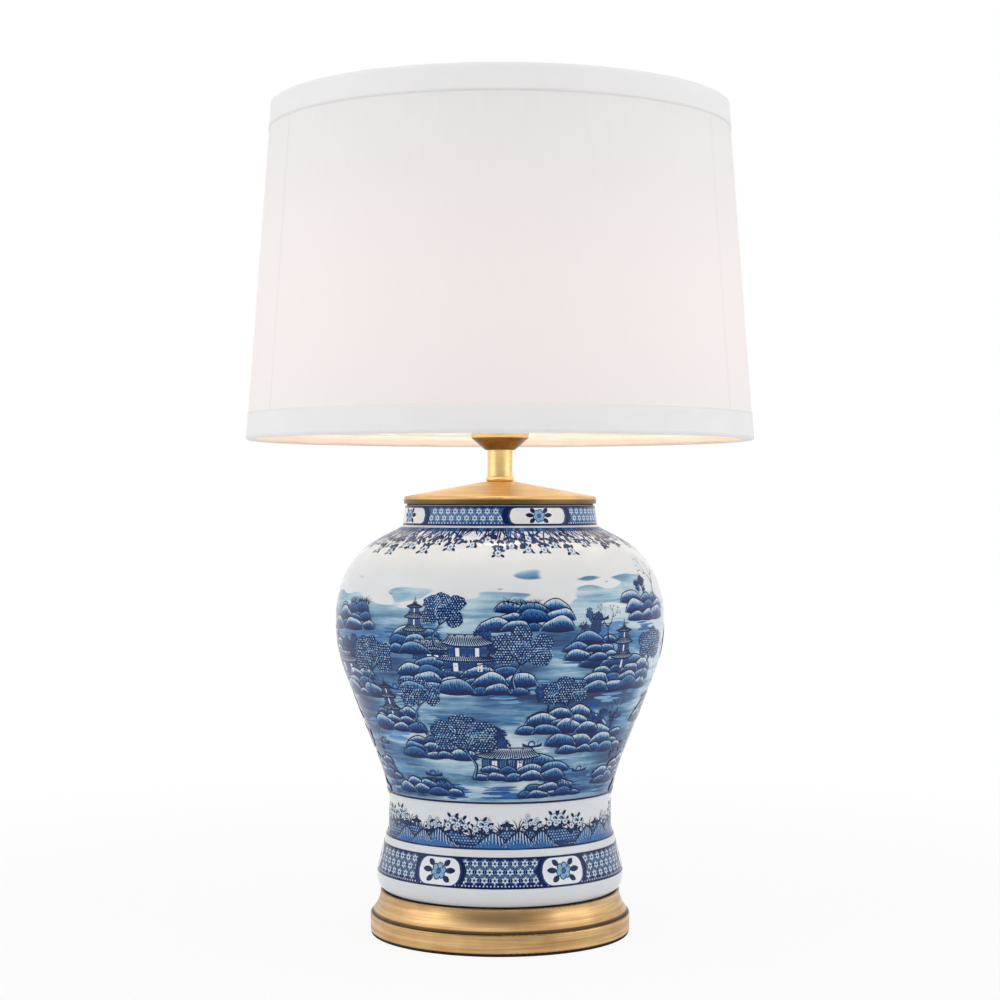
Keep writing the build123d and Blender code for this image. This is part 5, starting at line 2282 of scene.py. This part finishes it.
@dataclass
class DrumShade:
    """The shade: cloth and lining on a wire frame, with a folded cloth band at each rim."""

    body: str = "shade"
    steps: int = 480
    rows: int = 14
    struts: int = 3
    strut_radius: float = 190.0
    seam_half: float = 1.9
    seam_dip: float = 0.12
    stand: float = 0.5
    hem: float = 9.0
    rim_turn: float = 1.0
    rim_round: float = 0.25
    tuck: float = 0.7
    cloth: Finish = LitCloth("finish_shade_cloth")
    band: Finish = TapedHem("finish_shade_band")
    lining: Finish = Grained(
        "finish_shade_lining", srgb(252, 251, 246), srgb(247, 246, 239),
        (0.7, 0.85), 0.0, 900.0, 0.08,
    )
    wire: Finish = Grained(
        "finish_white_wire", srgb(236, 236, 234), srgb(220, 220, 218), (0.35, 0.5), 0.0, 500.0, 0.04
    )

    def build(self) -> None:
        """Dresses the frame and stretches the cloth, the lining and the bands over it."""
        for node in ("shade_spider", "lower_wire", "upper_wire", "frame_struts"):
            dress(node, self.wire)
        self.stretch("drum_cloth", "shade_fabric", False, self.cloth, "shade_cloth")
        self.stretch("drum_lining", "shade_lining", True, self.lining, "shade_liner")
        self.fold("lower_band", "lower_trim", 1)
        self.fold("upper_band", "upper_trim", -1)

    def seam(self, angle: float) -> float:
        """Gives how deep the cloth is drawn in at the struts.

        Args:
            angle: Degrees to the right of the front.

        Returns:
            The depth, from 0 to 1.
        """
        share = FULL_TURN / self.struts
        off = (angle + HALF_TURN + share / 2) % share - share / 2
        return exp(-((radians(off) * self.strut_radius / self.seam_half) ** 2))

    def stretch(
        self, name: str, node: str, inside: bool, finish: Finish, slot: str
    ) -> None:
        """Stretches a sheet where a CAD layer of the shade lies.

        Args:
            name: The sheet's name.
            node: The CAD layer.
            inside: Whether the sheet lies on the layer's inner face.
            finish: Its finish.
            slot: Its material slot.
        """
        skin = TurnedSkin.measured(node, inside)
        low, high = (corner.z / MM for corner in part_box(node))
        stand = 0.0 if inside else self.stand
        heights = [low + (high - low) * row / self.rows for row in range(self.rows + 1)]
        profile = [(skin.radius(z) + stand, z) for z in heights]
        piece = spun(name, profile, self.steps, lambda angle, z: -self.seam_dip * self.seam(angle))
        if inside:
            piece.data.flip_normals()
        (wide, _), (narrow, _) = profile[0], profile[-1]
        slant = hypot(wide - narrow, high - low)
        reach = slant * wide / (wide - narrow)
        spread = pi * wide / reach
        tall = reach - (reach - slant) * cos(spread)
        flat = (tall * MM, 2 * reach * sin(spread) * MM)
        self.finish(piece, finish, slot, node)
        pi * (wide + narrow) * slant * MM * MM

    def fold(self, name: str, node: str, upward: int) -> None:
        """Folds a band over a rim, from its outer edge to its hem inside.

        Args:
            name: The band's name.
            node: The CAD band.
            upward: 1 where the band stands up from the rim, -1 where it hangs from it.
        """
        outer, inner = TurnedSkin.measured(node), TurnedSkin.measured(node, True)
        low, high = (corner.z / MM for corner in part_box(node))
        rim, edge = (low, high) if upward > 0 else (high, low)
        turn, edge_round = self.rim_turn, rim + upward * self.rim_round
        run = [edge + (rim + upward * turn - edge) * step / 8 for step in range(9)]
        face = [(outer.radius(z), z) for z in run]
        hem = [rim + upward * (turn + (self.hem - turn) * step / 4) for step in range(5)]
        back = [(inner.radius(z), z) for z in hem]
        front, rear = face[-1][0], back[0][0]
        lip = [
            (front * 0.8 + rear * 0.2, edge_round),
            ((front + rear) / 2, rim),
            (front * 0.2 + rear * 0.8, edge_round),
        ]
        start = face[0][0]
        profile = [(start - self.tuck, edge), *face, *lip, *back]
        piece = spun(name, profile, self.steps, self.pucker)
        if upward > 0:
            piece.data.flip_normals()
        self.finish(piece, self.band, "shade_tape", node)
        2 * pi * start * MM

    def pucker(self, angle: float, height: float) -> float:
        """Gives the band's uneven lie."""
        turn = radians(angle)
        return 0.09 * sin(17 * turn + height / 9) + 0.06 * sin(41 * turn - height / 5)

    def finish(self, piece: bpy.types.Object, finish: Finish, slot: str, node: str) -> None:
        """Dresses a sheet and puts it in the place of its CAD layer.

        Args:
            piece: The sheet.
            finish: Its finish.
            slot: Its material slot; not used.
            node: The CAD layer.
        """
        piece.data.materials.append(finish.material())
        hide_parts(node)
        settle(piece, self.body)


@dataclass
class FeltPad:
    """The felt under the foot."""

    node: str = "base_pad"
    sides: int = 160
    softness: float = 0.45
    felt: Finish = Grained(
        "finish_felt", srgb(30, 29, 30), srgb(17, 17, 18), (0.9, 1.0), 0.0, 1800.0, 0.5
    )

    def build(self) -> None:
        """Cuts the pad and softens its edges."""
        low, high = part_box(self.node)
        shape = bmesh.new()
        bmesh.ops.create_circle(shape, cap_ends=True, segments=self.sides, radius=high.x)
        raised = bmesh.ops.extrude_face_region(shape, geom=shape.faces[:])["geom"]
        upper = [vert for vert in raised if isinstance(vert, bmesh.types.BMVert)]
        bmesh.ops.translate(shape, vec=(0, 0, high.z - low.z), verts=upper)
        bmesh.ops.recalc_face_normals(shape, faces=shape.faces[:])
        rims = [edge for edge in shape.edges if abs(edge.verts[0].co.z - edge.verts[1].co.z) < 1e-6]
        rounded = {"affect": "EDGES", "segments": 3, "profile": 0.5, "material": -1}
        bmesh.ops.bevel(shape, geom=rims, offset=self.softness * MM, **rounded)
        piece = placed("felt_disc", shape)
        piece.data.materials.append(self.felt.material())
        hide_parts(self.node)
        settle(piece, "lamp")


@dataclass(frozen=True)
class PaleFloor(Finish):
    """A pale floor that turns into white with distance and keeps the lamp's shadow."""

    colour: Colour = srgb(242, 242, 242)
    worn: Colour = srgb(238, 238, 238)
    near: float = 0.35
    far: float = 1.1
    veil: float = 0.88

    def wire(self, bench: Bench) -> None:
        """Mixes the lit floor with plain white for the rays that look at it.

        Args:
            bench: The bench.
        """
        place = bench.place()
        x, y, _ = bench.split(place)
        away = bench.radius(x, y).rise(self.near, self.far)
        tint = bench.mix(bench.noise(place, 30.0), self.colour, self.worn)
        lit = bench.node("BsdfDiffuse", None, {"Color": tint})[0]
        plain = bench.node("Emission", None, {"Color": WHITE, "Strength": 1.0})[0]
        share = bench.light_path() * between((self.veil, 1.0), away)
        bench.close(bench.node("MixShader", None, {0: share, 1: lit, 2: plain})[0])


@dataclass(frozen=True)
class Softbox:
    """A square soft light that points at a height on the lamp's axis."""

    name: str
    place: Triple
    aim: float
    size: float
    power: float

    def hang(self) -> None:
        """Hangs the light in the scene."""
        data = bpy.data.lights.new(self.name, "AREA")
        data.shape = "RECTANGLE"
        data.size = data.size_y = self.size
        data.energy = self.power
        light = bpy.data.objects.new(self.name, data)
        light.location = self.place
        way = Vector((0, 0, self.aim)) - Vector(self.place)
        light.rotation_euler = way.to_track_quat("-Z", "Y").to_euler()
        bpy.context.scene.collection.objects.link(light)


@dataclass
class Studio:
    """The floor, the soft lights, the white surroundings and the camera."""

    floor_half: float = 9.0
    floor_cells: int = 24
    camera_place: Triple = (0.0, -1.680, 0.3435)
    lens: float = 75.6
    sensor: float = 36.0
    fill: float = 0.67
    mirrored_dark: float = 0.76
    mirrored_front: Pair = (0.45, 0.95)
    floor: Finish = PaleFloor("finish_floor")
    softboxes: tuple[Softbox, ...] = (
        Softbox("left_softbox", (-2.1, -0.6, 0.8), 0.35, 2.0, 9.5),
        Softbox("right_softbox", (2.1, -0.6, 0.8), 0.35, 2.0, 9.0),
        Softbox("top_softbox", (0.0, -0.4, 2.3), 0.3, 1.6, 10.0),
    )

    def build(self) -> None:
        """Sets the studio up."""
        self.lay_floor()
        self.light_world()
        for softbox in self.softboxes:
            softbox.hang()
        camera = bpy.data.objects.new("camera", bpy.data.cameras.new("camera"))
        camera.location = self.camera_place
        camera.rotation_euler = (pi / 2, 0, 0)
        camera.data.lens = self.lens
        camera.data.sensor_width = self.sensor
        bpy.context.scene.collection.objects.link(camera)
        bpy.context.scene.camera = camera
        bpy.context.scene.view_settings.view_transform = "Standard"

    def lay_floor(self) -> None:
        """Lays the floor that the lamp stands on."""
        shape = bmesh.new()
        cells = self.floor_cells
        bmesh.ops.create_grid(shape, x_segments=cells, y_segments=cells, size=self.floor_half)
        floor = placed("floor", shape)
        floor.data.materials.append(self.floor.material())

    def light_world(self) -> None:
        """Makes the surroundings white to look at, soft as light and darker in a mirror."""
        world = bpy.data.worlds.new("studio")
        world.use_nodes = True
        bpy.context.scene.world = world
        bench = Bench(world.node_tree, "OutputWorld")
        direction = bench.node("TexCoord")["Generated"]
        toward = 0.0 - bench.split(direction)[1]
        mirrored = bench.node("LightPath")["Is Glossy Ray"]
        seen = 1.0 - self.mirrored_dark * toward.rise(*self.mirrored_front) * mirrored
        looks = bench.light_path()
        light = bench.node("Background", None, {"Color": WHITE, "Strength": self.fill})[0]
        view = bench.node("Background", None, {"Color": WHITE, "Strength": seen})[0]
        bench.close(bench.node("MixShader", None, {0: looks, 1: light, 2: view})[0])


def main() -> None:
    """Builds the studio and the lamp."""
    logging.basicConfig(level=logging.INFO, format="%(name)s: %(message)s")
    parts = (Studio(), FeltPad(), BrassFittings(), PaintedJar(), Lampholder(), Bulb(), DrumShade())
    for part in parts:
        part.build()


if __name__ == "__main__":
    main()
